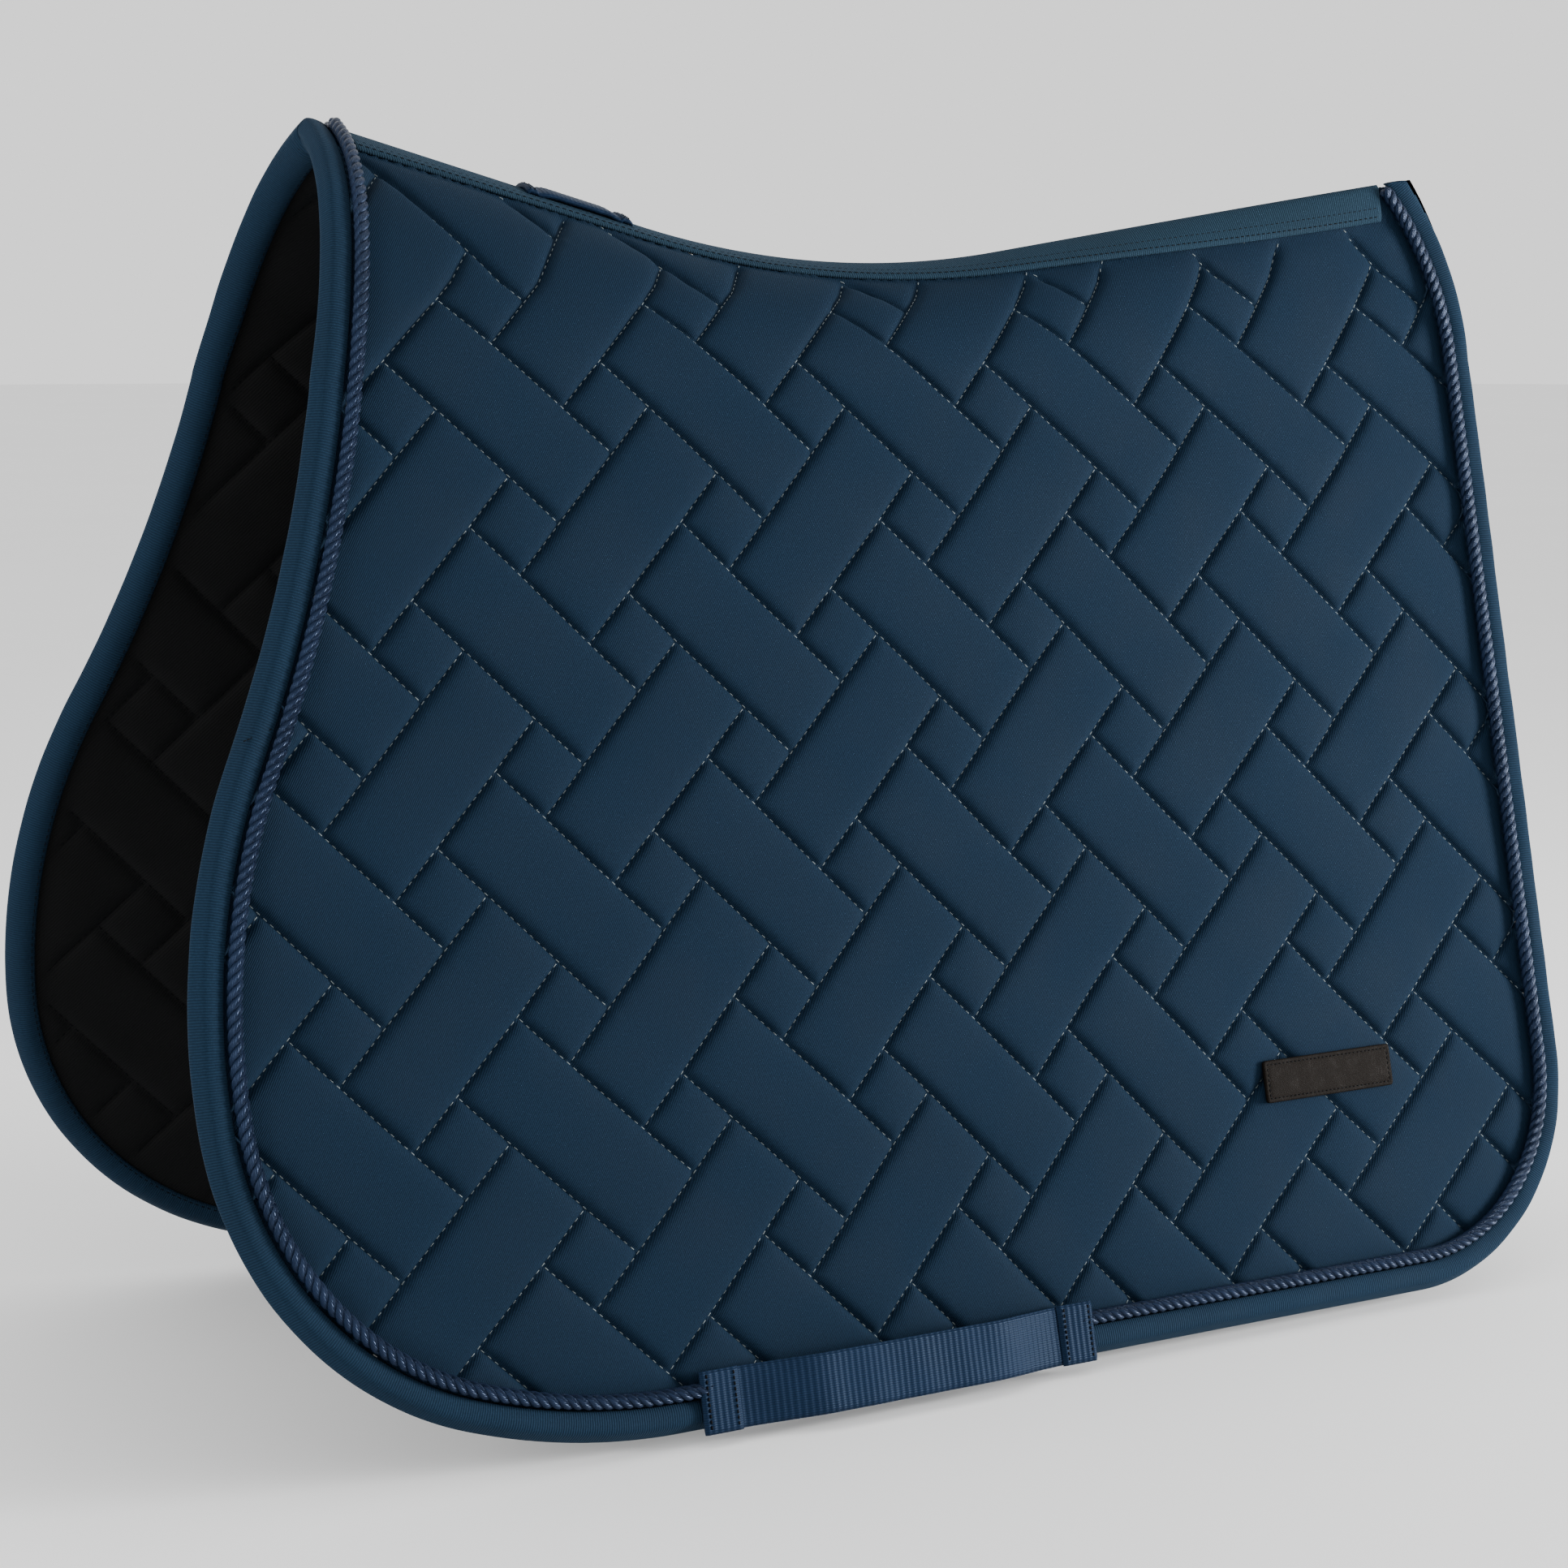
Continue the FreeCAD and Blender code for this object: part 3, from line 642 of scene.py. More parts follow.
class Shader:
    """Places and links the nodes of one node tree."""

    def __init__(self, tree):
        self.tree = tree

    def add(self, kind, inputs=None, **settings):
        """A node with its settings, and its inputs as values or as sockets to link."""
        node = self.tree.nodes.new(kind)
        for name, value in settings.items():
            setattr(node, name, value)
        for name, value in (inputs or {}).items():
            self.feed(node.inputs[name], value)
        return node

    def feed(self, socket, value):
        """Link a socket to the input, or set its value."""
        if isinstance(value, bpy.types.NodeSocket):
            self.tree.links.new(value, socket)
        else:
            socket.default_value = value

    def math(self, operation, *values, clamp=False):
        """Result of a Math node."""
        node = self.add("ShaderNodeMath", operation=operation, use_clamp=clamp)
        for socket, value in zip(node.inputs, values):
            self.feed(socket, value)
        return node.outputs[0]

    def mix(self, factor, first, second, blend="MIX"):
        """Result of a colour mix."""
        node = self.add("ShaderNodeMix", data_type="RGBA", blend_type=blend)
        self.feed(node.inputs[0], factor)
        self.feed(node.inputs[6], first)
        self.feed(node.inputs[7], second)
        return node.outputs[2]

    def noise(self, vector, scale, detail=3.0, roughness=0.55):
        """Value of a Noise texture."""
        node = self.add("ShaderNodeTexNoise", {"Vector": vector, "Scale": scale, "Detail": detail,
                                               "Roughness": roughness})
        return node.outputs["Fac"]

    def spread(self, value, low, high, to_low, to_high):
        """A value mapped from one range to another, held at its ends."""
        node = self.add("ShaderNodeMapRange", {"Value": value, "From Min": low, "From Max": high,
                                               "To Min": to_low, "To Max": to_high})
        return node.outputs["Result"]


def new_group(name, inputs, outputs):
    """An empty node group with named sockets; returns its shader, inputs and output node."""
    tree = bpy.data.node_groups.new(name, "ShaderNodeTree")
    for label, kind, value in inputs:
        socket = tree.interface.new_socket(label, in_out="INPUT", socket_type=kind)
        if value is not None:
            socket.default_value = value
    for label, kind in outputs:
        tree.interface.new_socket(label, in_out="OUTPUT", socket_type=kind)
    shader = Shader(tree)
    return shader, shader.add("NodeGroupInput").outputs, shader.add("NodeGroupOutput")


def ribbed_weave_group():
    """Raised ribs in one direction with finer threads across them, such as twill or webbing."""
    shader, given, out = new_group(
        "Ribbed weave",
        (("Cloth", "NodeSocketVector", None), ("Pitch", "NodeSocketFloat", 0.0008),
         ("Angle", "NodeSocketFloat", 0.0), ("Unevenness", "NodeSocketFloat", 0.5)),
        (("Height", "NodeSocketFloat"), ("Rib", "NodeSocketFloat")))
    parts = shader.add("ShaderNodeSeparateXYZ", {"Vector": given["Cloth"]}).outputs
    cosine = shader.math("COSINE", given["Angle"])
    sine = shader.math("SINE", given["Angle"])
    over = shader.math("ADD", shader.math("MULTIPLY", parts["X"], cosine),
                       shader.math("MULTIPLY", parts["Y"], sine))
    down = shader.math("SUBTRACT", shader.math("MULTIPLY", parts["Y"], cosine),
                       shader.math("MULTIPLY", parts["X"], sine))
    wander = shader.math("SUBTRACT", shader.noise(given["Cloth"], 260.0, 1.0), 0.5)
    wander = shader.math("MULTIPLY", wander, given["Unevenness"])
    turns = shader.math("ADD", shader.math("DIVIDE", over, given["Pitch"]), wander)
    rib = shader.math("SINE", shader.math("MULTIPLY", turns, math.tau))
    rib = shader.math("MULTIPLY_ADD", rib, 0.5, 0.5)
    thread = shader.math("DIVIDE", down, shader.math("MULTIPLY", given["Pitch"], 0.62))
    thread = shader.math("SINE", shader.math("MULTIPLY", thread, math.tau))
    thread = shader.math("MULTIPLY", shader.math("MULTIPLY_ADD", thread, 0.5, 0.5), rib)
    height = shader.math("ADD", shader.math("MULTIPLY", rib, 0.8),
                         shader.math("MULTIPLY", thread, 0.2))
    shader.feed(out.inputs["Height"], height)
    shader.feed(out.inputs["Rib"], rib)
    return shader.tree


def cloth_dye_and_rib_shade_group():
    """Colour of dyed cloth: painted shade between the ribs, slow drift of the dye, faint lint and
    wear.
    """
    shader, given, out = new_group(
        "Cloth dye and rib shade",
        (("Colour", "NodeSocketColor", (0.02, 0.05, 0.09, 1.0)),
         ("Second colour", "NodeSocketColor", (0.02, 0.05, 0.09, 1.0)),
         ("Cloth", "NodeSocketVector", None), ("Rib", "NodeSocketFloat", 1.0),
         ("Painted rib shade", "NodeSocketFloat", 0.3), ("Lint", "NodeSocketFloat", 0.2),
         ("Roughness", "NodeSocketFloat", 0.75)),
        (("Colour", "NodeSocketColor"), ("Roughness", "NodeSocketFloat")))
    drift = shader.noise(given["Cloth"], 22.0, 2.0)
    drift = shader.spread(drift, 0.35, 0.65, 0.0, 1.0)
    colour = shader.mix(drift, given["Colour"], given["Second colour"])
    # painted shade: the colour is darkened in the valleys between the ribs
    shade = shader.math("SUBTRACT", 1.0, shader.math(
        "MULTIPLY", given["Painted rib shade"], shader.math("SUBTRACT", 1.0, given["Rib"])))
    grey = shader.add("ShaderNodeCombineXYZ", {"X": shade, "Y": shade, "Z": shade}).outputs[0]
    colour = shader.mix(1.0, colour, grey, "MULTIPLY")
    mottle = shader.noise(given["Cloth"], 900.0, 2.0)
    mottle = shader.spread(mottle, 0.3, 0.7, 0.88, 1.12)
    speck = shader.add("ShaderNodeCombineXYZ", {"X": mottle, "Y": mottle, "Z": mottle}).outputs[0]
    colour = shader.mix(1.0, colour, speck, "MULTIPLY")
    lint = shader.spread(shader.noise(given["Cloth"], 420.0, 0.0), 0.72, 0.8, 0.0, 1.0)
    lint = shader.math("MULTIPLY", lint, given["Lint"])
    colour = shader.mix(lint, colour, (0.35, 0.38, 0.42, 1.0))
    roughness = shader.math("ADD", given["Roughness"], shader.spread(drift, 0, 1, -0.05, 0.05))
    shader.feed(out.inputs["Colour"], colour)
    shader.feed(out.inputs["Roughness"], roughness)
    return shader.tree


def leather_grain_group():
    """Pebbled leather: small irregular cells with painted shade in the crevices between them, fine
    pores and rubbed high places.
    """
    shader, given, out = new_group(
        "Leather grain",
        (("Colour", "NodeSocketColor", (0.05, 0.04, 0.03, 1.0)),
         ("Worn colour", "NodeSocketColor", (0.1, 0.08, 0.06, 1.0)),
         ("Cloth", "NodeSocketVector", None), ("Grain size", "NodeSocketFloat", 0.0007)),
        (("Colour", "NodeSocketColor"), ("Roughness", "NodeSocketFloat"),
         ("Height", "NodeSocketFloat")))
    scale = shader.math("DIVIDE", 1.0, given["Grain size"])
    cells = shader.add("ShaderNodeTexVoronoi", {"Vector": given["Cloth"], "Scale": scale},
                       feature="DISTANCE_TO_EDGE").outputs["Distance"]
    pebble = shader.spread(cells, 0.0, 0.3, 0.0, 1.0)
    pores = shader.noise(given["Cloth"], 2600.0, 3.0)
    worn = shader.spread(shader.noise(given["Cloth"], 130.0, 4.0), 0.5, 0.72, 0.0, 0.8)
    colour = shader.mix(worn, given["Colour"], given["Worn colour"])
    # painted shade: the colour is darkened in the crevices between the pebbles
    shade = shader.spread(pebble, 0.0, 1.0, 0.72, 1.05)
    grey = shader.add("ShaderNodeCombineXYZ", {"X": shade, "Y": shade, "Z": shade}).outputs[0]
    shader.feed(out.inputs["Colour"], shader.mix(1.0, colour, grey, "MULTIPLY"))
    shader.feed(out.inputs["Roughness"], shader.spread(worn, 0.0, 0.8, 0.62, 0.5))
    shader.feed(out.inputs["Height"], shader.math(
        "ADD", shader.math("MULTIPLY", pebble, 0.75), shader.math("MULTIPLY", pores, 0.25)))
    return shader.tree


def new_material(name, sheen, sheen_roughness, sheen_tint, specular):
    """A material with a Principled shader; returns it, its shader and that node."""
    material = bpy.data.materials.new(name)
    material.use_nodes = True
    shader = Shader(material.node_tree)
    principled = material.node_tree.nodes["Principled BSDF"]
    principled.inputs["Sheen Weight"].default_value = sheen
    principled.inputs["Sheen Roughness"].default_value = sheen_roughness
    principled.inputs["Sheen Tint"].default_value = sheen_tint
    principled.inputs["Specular IOR Level"].default_value = specular
    return material, shader, principled


def cloth_coordinates(shader):
    """The cloth's own coordinates: along, across and nothing, in metres."""
    node = shader.add("ShaderNodeAttribute", attribute_name="cloth", attribute_type="GEOMETRY")
    return node.outputs["Vector"]


def bumped(shader, principled, height, distance, strength=1.0):
    """Give the shader a bump of a depth in metres."""
    bump = shader.add("ShaderNodeBump", {"Height": height, "Distance": distance,
                                         "Strength": strength})
    shader.feed(principled.inputs["Normal"], bump.outputs["Normal"])


def ribbed_cloth(name, colour, second, pitch, angle, depth, contrast, lint=0.0, roughness=0.75,
                 sheen=0.02, specular=0.03, unevenness=0.5, tint=(1.0, 1.0, 1.0)):
    """Material of any ribbed fabric on the pad."""
    material, shader, principled = new_material(name, sheen, 0.45, (0.35, 0.6, 0.9, 1.0), specular)
    principled.inputs["Specular Tint"].default_value = (*tint, 1.0)
    cloth = cloth_coordinates(shader)
    weave = shader.add("ShaderNodeGroup", node_tree=bpy.data.node_groups["Ribbed weave"])
    shader.feed(weave.inputs["Cloth"], cloth)
    weave.inputs["Pitch"].default_value = pitch
    weave.inputs["Angle"].default_value = angle
    weave.inputs["Unevenness"].default_value = unevenness
    tone = shader.add("ShaderNodeGroup", node_tree=bpy.data.node_groups["Cloth dye and rib shade"])
    shader.feed(tone.inputs["Cloth"], cloth)
    shader.feed(tone.inputs["Rib"], weave.outputs["Rib"])
    tone.inputs["Colour"].default_value = (*colour, 1.0)
    tone.inputs["Second colour"].default_value = (*second, 1.0)
    # contrast sets the strength of the painted shade in the valleys between the ribs
    tone.inputs["Painted rib shade"].default_value = contrast
    tone.inputs["Lint"].default_value = lint
    tone.inputs["Roughness"].default_value = roughness
    shader.feed(principled.inputs["Base Color"], tone.outputs["Colour"])
    shader.feed(principled.inputs["Roughness"], tone.outputs["Roughness"])
    bumped(shader, principled, weave.outputs["Height"], depth)
    return material


def leather_material(colours):
    """Smooth dark leather of the patch."""
    material, shader, principled = new_material("Patch leather", 0.0, 0.5, (1, 1, 1, 1), 0.04)
    grain = shader.add("ShaderNodeGroup", node_tree=bpy.data.node_groups["Leather grain"])
    shader.feed(grain.inputs["Cloth"], cloth_coordinates(shader))
    grain.inputs["Colour"].default_value = (*colours.leather, 1.0)
    grain.inputs["Worn colour"].default_value = (*(1.25 * c for c in colours.leather), 1.0)
    shader.feed(principled.inputs["Base Color"], grain.outputs["Colour"])
    shader.feed(principled.inputs["Roughness"], grain.outputs["Roughness"])
    bumped(shader, principled, grain.outputs["Height"], 0.00012)
    return material


def lighter(colour, factor):
    """A colour scaled in brightness."""
    return tuple(min(1.0, factor * c) for c in colour)


def make_materials(colours):
    """Every finish of the pad, by the name of its material slot."""
    ribbed_weave_group()
    cloth_dye_and_rib_shade_group()
    leather_grain_group()
    twill_angle = math.radians(32.0)
    return {
        "twill": ribbed_cloth("Pad twill", colours.fabric, lighter(colours.fabric, 1.06),
                              0.0008, twill_angle, 0.00011, 0.38),
        "binding": ribbed_cloth("Binding twill", colours.binding, lighter(colours.binding, 1.1),
                                0.0011, 0.0, 0.00016, 0.4, sheen=0.03),
        "tape": ribbed_cloth("Spine tape cloth", colours.tape, lighter(colours.tape, 1.12),
                             0.0011, 0.0, 0.00016, 0.4, sheen=0.03),
        "lining": ribbed_cloth("Lining cloth", colours.lining, lighter(colours.lining, 1.6),
                               0.0012, math.radians(45.0), 0.0001, 0.3, 0.0, 0.85, 0.02, 0.08),
        "seam_tape": ribbed_cloth("Seam tape cloth", colours.lining, lighter(colours.lining, 1.3),
                                  0.0014, 0.0, 0.00015, 0.35, 0.0, 0.85, 0.02, 0.08),
        "webbing": ribbed_cloth("Loop webbing", colours.webbing, lighter(colours.webbing, 1.25),
                                0.00095, math.radians(90.0), 0.00012, 0.35, 0.0, 0.5, 0.02, 0.10,
                                tint=(0.35, 0.6, 1.0)),
        "rope": ribbed_cloth("Rope yarn", colours.rope, lighter(colours.rope, 1.5),
                             0.0006, math.radians(62.0), 0.00012, 0.5, 0.0, 0.34, 0.0, 0.35,
                             tint=(0.40, 0.58, 1.0)),
        "quilting_thread": ribbed_cloth("Quilting thread", colours.thread,
                                        lighter(colours.thread, 0.8), 0.0004,
                                        math.radians(40.0), 0.00005, 0.3, 0.0, 0.5, 0.2, 0.5),
        "sewing_thread": ribbed_cloth("Dark thread", colours.dark_thread,
                                      lighter(colours.dark_thread, 1.5), 0.0004,
                                      math.radians(40.0), 0.00005, 0.3, 0.0, 0.6, 0.0, 0.06),
        "foam": ribbed_cloth("Foam core", (0.55, 0.55, 0.52), (0.6, 0.6, 0.57), 0.003, 0.0,
                             0.0002, 0.1, 0.0, 0.9, 0.0, 0.1),
        "leather": leather_material(colours),
    }


MATERIALS = {}


# ------------------------------------------------------------------------------------- add-on parts

class QuiltSettings(bpy.types.PropertyGroup):
    """Sizes of the quilting and its thread."""
    depth: bpy.props.FloatProperty(
        name="Seam depth", description="How far the seams are pressed into the panel",
        default=4.3 * MM, unit="LENGTH", subtype="DISTANCE")
    stitch_pitch: bpy.props.FloatProperty(
        name="Stitch pitch", description="Distance from one stitch to the next",
        default=3.75 * MM, unit="LENGTH", subtype="DISTANCE")
    stitch_length: bpy.props.FloatProperty(
        name="Stitch length", description="Length of thread that shows in one stitch",
        default=2.5 * MM, unit="LENGTH", subtype="DISTANCE")
    thread: bpy.props.FloatProperty(
        name="Thread", description="Diameter of the quilting thread",
        default=0.44 * MM, unit="LENGTH", subtype="DISTANCE")


class TrimSettings(bpy.types.PropertyGroup):
    """Sizes of the binding and the rope."""
    binding_bulge: bpy.props.FloatProperty(
        name="Binding bulge", description="How far the padded binding stands above the panel",
        default=2.2 * MM, unit="LENGTH", subtype="DISTANCE")
    strand_spacing: bpy.props.FloatProperty(
        name="Strand spacing", description="Distance between the strands along the rope",
        default=4.6 * MM, unit="LENGTH", subtype="DISTANCE")
    strand_radius: bpy.props.FloatProperty(
        name="Strand radius", description="Radius of one of the rope's three strands",
        default=1.66 * MM, unit="LENGTH", subtype="DISTANCE")
    rib_height: bpy.props.FloatProperty(
        name="Webbing ribs", description="Height of the ribs across the girth loop",
        default=0.15 * MM, unit="LENGTH", subtype="DISTANCE")


def colour_property(label, words, value):
    """A colour that the user may change."""
    return bpy.props.FloatVectorProperty(name=label, description=words, subtype="COLOR",
                                         default=value, min=0.0, max=1.0)


class ColourSettings(bpy.types.PropertyGroup):
    """Colours of the cloths, the rope, the leather and the threads."""
    fabric: colour_property("Fabric", "Outer twill", (0.0050, 0.0135, 0.0270))
    binding: colour_property("Binding", "Ribbed binding", (0.0068, 0.0180, 0.0345))
    tape: colour_property("Spine tape", "Tape over the spine", (0.0110, 0.0250, 0.0400))
    lining: colour_property("Lining", "Lining next to the horse", (0.0032, 0.0032, 0.0033))
    webbing: colour_property("Webbing", "Girth loop and tab", (0.0046, 0.0112, 0.0270))
    rope: colour_property("Rope", "Twisted trim", (0.0036, 0.0080, 0.0210))
    leather: colour_property("Leather", "Patch", (0.0052, 0.0036, 0.0026))
    thread: colour_property("Quilting thread", "Pale thread", (0.1700, 0.2050, 0.2100))
    dark_thread: colour_property("Sewing thread", "Dark thread", (0.0010, 0.0014, 0.0022))


class StageSettings(bpy.types.PropertyGroup):
    """Camera and lights."""
    azimuth: bpy.props.FloatProperty(
        name="Azimuth", description="Camera's angle round the pad", default=math.radians(-25.157),
        subtype="ANGLE")
    elevation: bpy.props.FloatProperty(
        name="Elevation", description="Camera's angle above the horizon",
        default=math.radians(7.967), subtype="ANGLE")
    distance: bpy.props.FloatProperty(
        name="Distance", description="From the camera to the middle of the pad", default=1.6532,
        unit="LENGTH", subtype="DISTANCE")
    lens: bpy.props.FloatProperty(
        name="Lens", description="Focal length of the camera in millimetres", default=84.47)
    key: bpy.props.FloatProperty(
        name="Key light", description="Power of the large light, in watts", default=120.0)
    fill: bpy.props.FloatProperty(
        name="Fill light", description="Power of the opposite light, in watts", default=34.0)
    floor: colour_property("Floor", "Pale floor", (0.86, 0.86, 0.86))


def settings(context):
    """The add-on's settings in the scene."""
    scene = context.scene
    return scene.pad_quilt, scene.pad_trim, scene.pad_colours, scene.pad_stage


def across_fold(piece):
    """Bake the piece's placement into its mesh."""
    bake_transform(piece)


def panel_area():
    """Flat area of one side's cloth, in square metres, and the rectangle that it is cut from."""
    outline = inset_outline(3.0, 0.0)
    u, w = outline.T
    area = 0.5 * abs(float(np.dot(u, np.roll(w, 1)) - np.dot(w, np.roll(u, 1))))
    size = tuple(float(v) * MM for v in (np.ptp(u), np.ptp(w)))
    return area * MM * MM, size


class SADDLEPAD_OT_materials(bpy.types.Operator):
    """Make the shared effects and every material"""
    bl_idname = "saddlepad.materials"
    bl_label = "Materials"

    def execute(self, context):
        MATERIALS.update(make_materials(settings(context)[2]))
        return {"FINISHED"}


class SADDLEPAD_OT_foam(bpy.types.Operator):
    """Make the quilted foam core of each side"""
    bl_idname = "saddlepad.foam"
    bl_label = "Foam cores"

    def execute(self, context):
        depth = settings(context)[0].depth / MM
        a, b, u, w, quads = quilted_grid(8, 10, 4.5, 2.0)
        fields = edge_fields(u, w)
        top = outer_height(a, b, u, w, depth, fields) - 1.1
        bottom = np.minimum(lining_height(a, b, depth, fields) + 0.8, top - 0.5)
        count = len(u)
        faces = np.concatenate((quads, quads[:, ::-1] + count, rim_quads(quads, count)))
        cloth = np.stack((np.tile(u, 2), np.tile(w, 2), np.zeros(2 * count)), axis=1)
        for name, side in SIDES:
            points = surface(side, np.tile(u, 2), np.tile(w, 2), np.concatenate((top, bottom)))
            piece = write_mesh(name + "_quilted_foam", points, faces, cloth, MATERIALS["foam"])
            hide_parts(name + "_upper_foam_core", name + "_flap_foam_core")
            across_fold(piece)
        return {"FINISHED"}


class SADDLEPAD_OT_outer_fabric(bpy.types.Operator):
    """Make the quilted twill of each side, in one piece across the fold"""
    bl_idname = "saddlepad.outer_fabric"
    bl_label = "Outer fabric"

    def execute(self, context):
        depth = settings(context)[0].depth / MM
        a, b, u, w, quads = quilted_grid(14, 17, 3.0, 1.0)
        n = outer_height(a, b, u, w, depth, edge_fields(u, w))
        cloth = np.stack((u, w, np.zeros_like(u)), axis=1)
        area, flat = panel_area()
        for name, side in SIDES:
            piece = write_mesh(name + "_quilted_twill", surface(side, u, w, n),
                               face_sign(side, quads), cloth, MATERIALS["twill"],
                               weld_faces=False)
            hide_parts(name + "_upper_outer_fabric", name + "_flap_outer_fabric")
            across_fold(piece)
        return {"FINISHED"}


class SADDLEPAD_OT_lining(bpy.types.Operator):
    """Make the black lining of each side"""
    bl_idname = "saddlepad.lining"
    bl_label = "Lining"

    def execute(self, context):
        depth = settings(context)[0].depth / MM
        a, b, u, w, quads = quilted_grid(9, 12, 3.0, 1.0)
        n = lining_height(a, b, depth, edge_fields(u, w))
        cloth = np.stack((u, w, np.zeros_like(u)), axis=1)
        area, flat = panel_area()
        for name, side in SIDES:
            piece = write_mesh(name + "_quilted_lining", surface(side, u, w, n),
                               face_sign(-side, quads), cloth, MATERIALS["lining"],
                               weld_faces=False)
            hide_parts(name + "_upper_lining", name + "_flap_lining")
            across_fold(piece)
        return {"FINISHED"}


class SADDLEPAD_OT_quilting_thread(bpy.types.Operator):
    """Sew the quilting: one small stitch after another along every seam"""
    bl_idname = "saddlepad.quilting_thread"
    bl_label = "Quilting thread"

    def execute(self, context):
        quilt = settings(context)[0]
        pitch, length = quilt.stitch_pitch / MM, quilt.stitch_length / MM
        starts, ends = [], []
        half = RECTANGLE_LENGTH / 2
        steps = np.arange(-half + 1.0 + length / 2, half - length / 2, pitch)
        for a, b, along_a in seam_lines():
            reach = np.array((1.0, 0.0) if along_a else (0.0, 1.0))
            middles = np.array((a, b)) + steps[:, None] * reach
            starts.append(middles - reach * length / 2)
            ends.append(middles + reach * length / 2)
        starts, ends = np.concatenate(starts), np.concatenate(ends)
        middle = (starts + ends) / 2
        u, w = lattice_place(*middle.T)
        outline = inset_outline(ROPE_INSET + 1.5, TAPE_HALF_WIDTH)
        keep = inside(outline, u, w)
        starts, ends, middle = starts[keep], ends[keep], middle[keep]
        fields = edge_fields(u[keep], w[keep])
        depth = quilt.depth / MM
        n = outer_height(middle[:, 0], middle[:, 1], u[keep], w[keep], depth, fields) + 0.22
        inner = lining_height(middle[:, 0], middle[:, 1], depth, fields) - 0.12
        begin, finish = lattice_place(*starts.T), lattice_place(*ends.T)
        for name, side in SIDES:
            made = stitches(side, *begin, *finish, n, length, quilt.thread / MM, 0.35)
            piece = write_mesh(name + "_quilting_thread", *made, MATERIALS["quilting_thread"],
                               weld_faces=side < 0)
            across_fold(piece)
            made = stitches(side, *begin, *finish, inner, length, quilt.thread / MM, -0.3)
            piece = write_mesh(name + "_lining_thread", *made, MATERIALS["sewing_thread"],
                               weld_faces=False)
            across_fold(piece)
        return {"FINISHED"}


def binding_section(bulge):
    """Closed section of the folded binding as rows of (distance in from the edge, n).

    The section is drawn 17 mm wide and brought to the binding's own width.
    """
    drawn_width = 17.0
    depth = PANEL_DEPTH
    outer = ((17.0, -0.5), (16.2, 0.7), (13.0, 0.8 * bulge), (9.0, bulge), (5.0, 0.7 * bulge),
             (2.2, -1.4), (0.2, -4.6), (2.8, -8.4), (6.2, -depth - 0.7), (10.0, -depth - 1.7),
             (13.0, -depth - 1.6), (16.4, -depth - 0.8), (17.0, -depth + 0.2))
    inner = ((16.0, -depth + 0.4), (13.0, -depth - 0.3), (9.6, -depth - 0.2), (6.6, -8.8),
             (4.0, -6.8), (2.4, -4.8), (3.8, -2.2), (6.0, -0.4), (9.0, 0.5 * bulge),
             (13.0, 0.3 * bulge), (16.0, -0.7))
    shape = np.array(outer + inner) * (BINDING_WIDTH / drawn_width, 1.0)
    return smooth_loop(shape, 44)


class SADDLEPAD_OT_binding(bpy.types.Operator):
    """Fold the ribbed binding round the free edge of each side"""
    bl_idname = "saddlepad.binding"
    bl_label = "Edge binding"

    def execute(self, context):
        bulge = settings(context)[1].binding_bulge / MM
        section = binding_section(bulge)
        point, inward, travel = edge_path(2.6)
        q, n = section.T
        around = np.concatenate(([0.0], np.cumsum(np.hypot(*np.diff(section, axis=0).T))))
        u = point[:, :1] + inward[:, :1] * q
        w = point[:, 1:] + inward[:, 1:] * q
        along = np.repeat(travel[:, None], len(q), axis=1)
        swell = 0.22 * ripple(along, 3.0 * q[None, :], 34.0, 31)
        turning = np.abs(np.gradient(np.unwrap(np.arctan2(inward[:, 1], inward[:, 0])), travel))
        gather = smooth(0.002, 0.009, turning)[:, None] * smooth(6.0, 10.0, np.abs(n))[None, :]
        pucker = 0.35 * gather * np.sin(along * math.tau / 7.5) * (n < -5.0)
        lying = 1.0 - smooth(BINDING_WIDTH - 5.0, BINDING_WIDTH - 0.2, q)[None, :]
        end_gap = np.minimum(travel, travel[-1] - travel)[:, None]
        pinch = 1.3 * np.exp(-((end_gap - EDGE_OVERRUN - 7.0) / 5.0) ** 2) * (n < -5.0)
        n = n[None, :] + (swell - pucker) * lying + pinch * np.sin(along * math.tau / 5.5)
        across = np.repeat(around[None, :], len(travel), axis=0)
        cloth = np.stack((along, across, np.zeros_like(along)), axis=-1).reshape(-1, 3)
        faces = grid_faces(len(travel), len(q), wrap_columns=True, caps=True)
        for name, side in SIDES:
            points = surface(side, u, w, n).reshape(-1, 3)
            piece = write_mesh(name + "_binding_cloth", points, faces, cloth,
                               MATERIALS["binding"], clean=0.02)
            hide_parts(name + "_edge_binding", "withers_binding", "loin_binding")
            across_fold(piece)
        return {"FINISHED"}


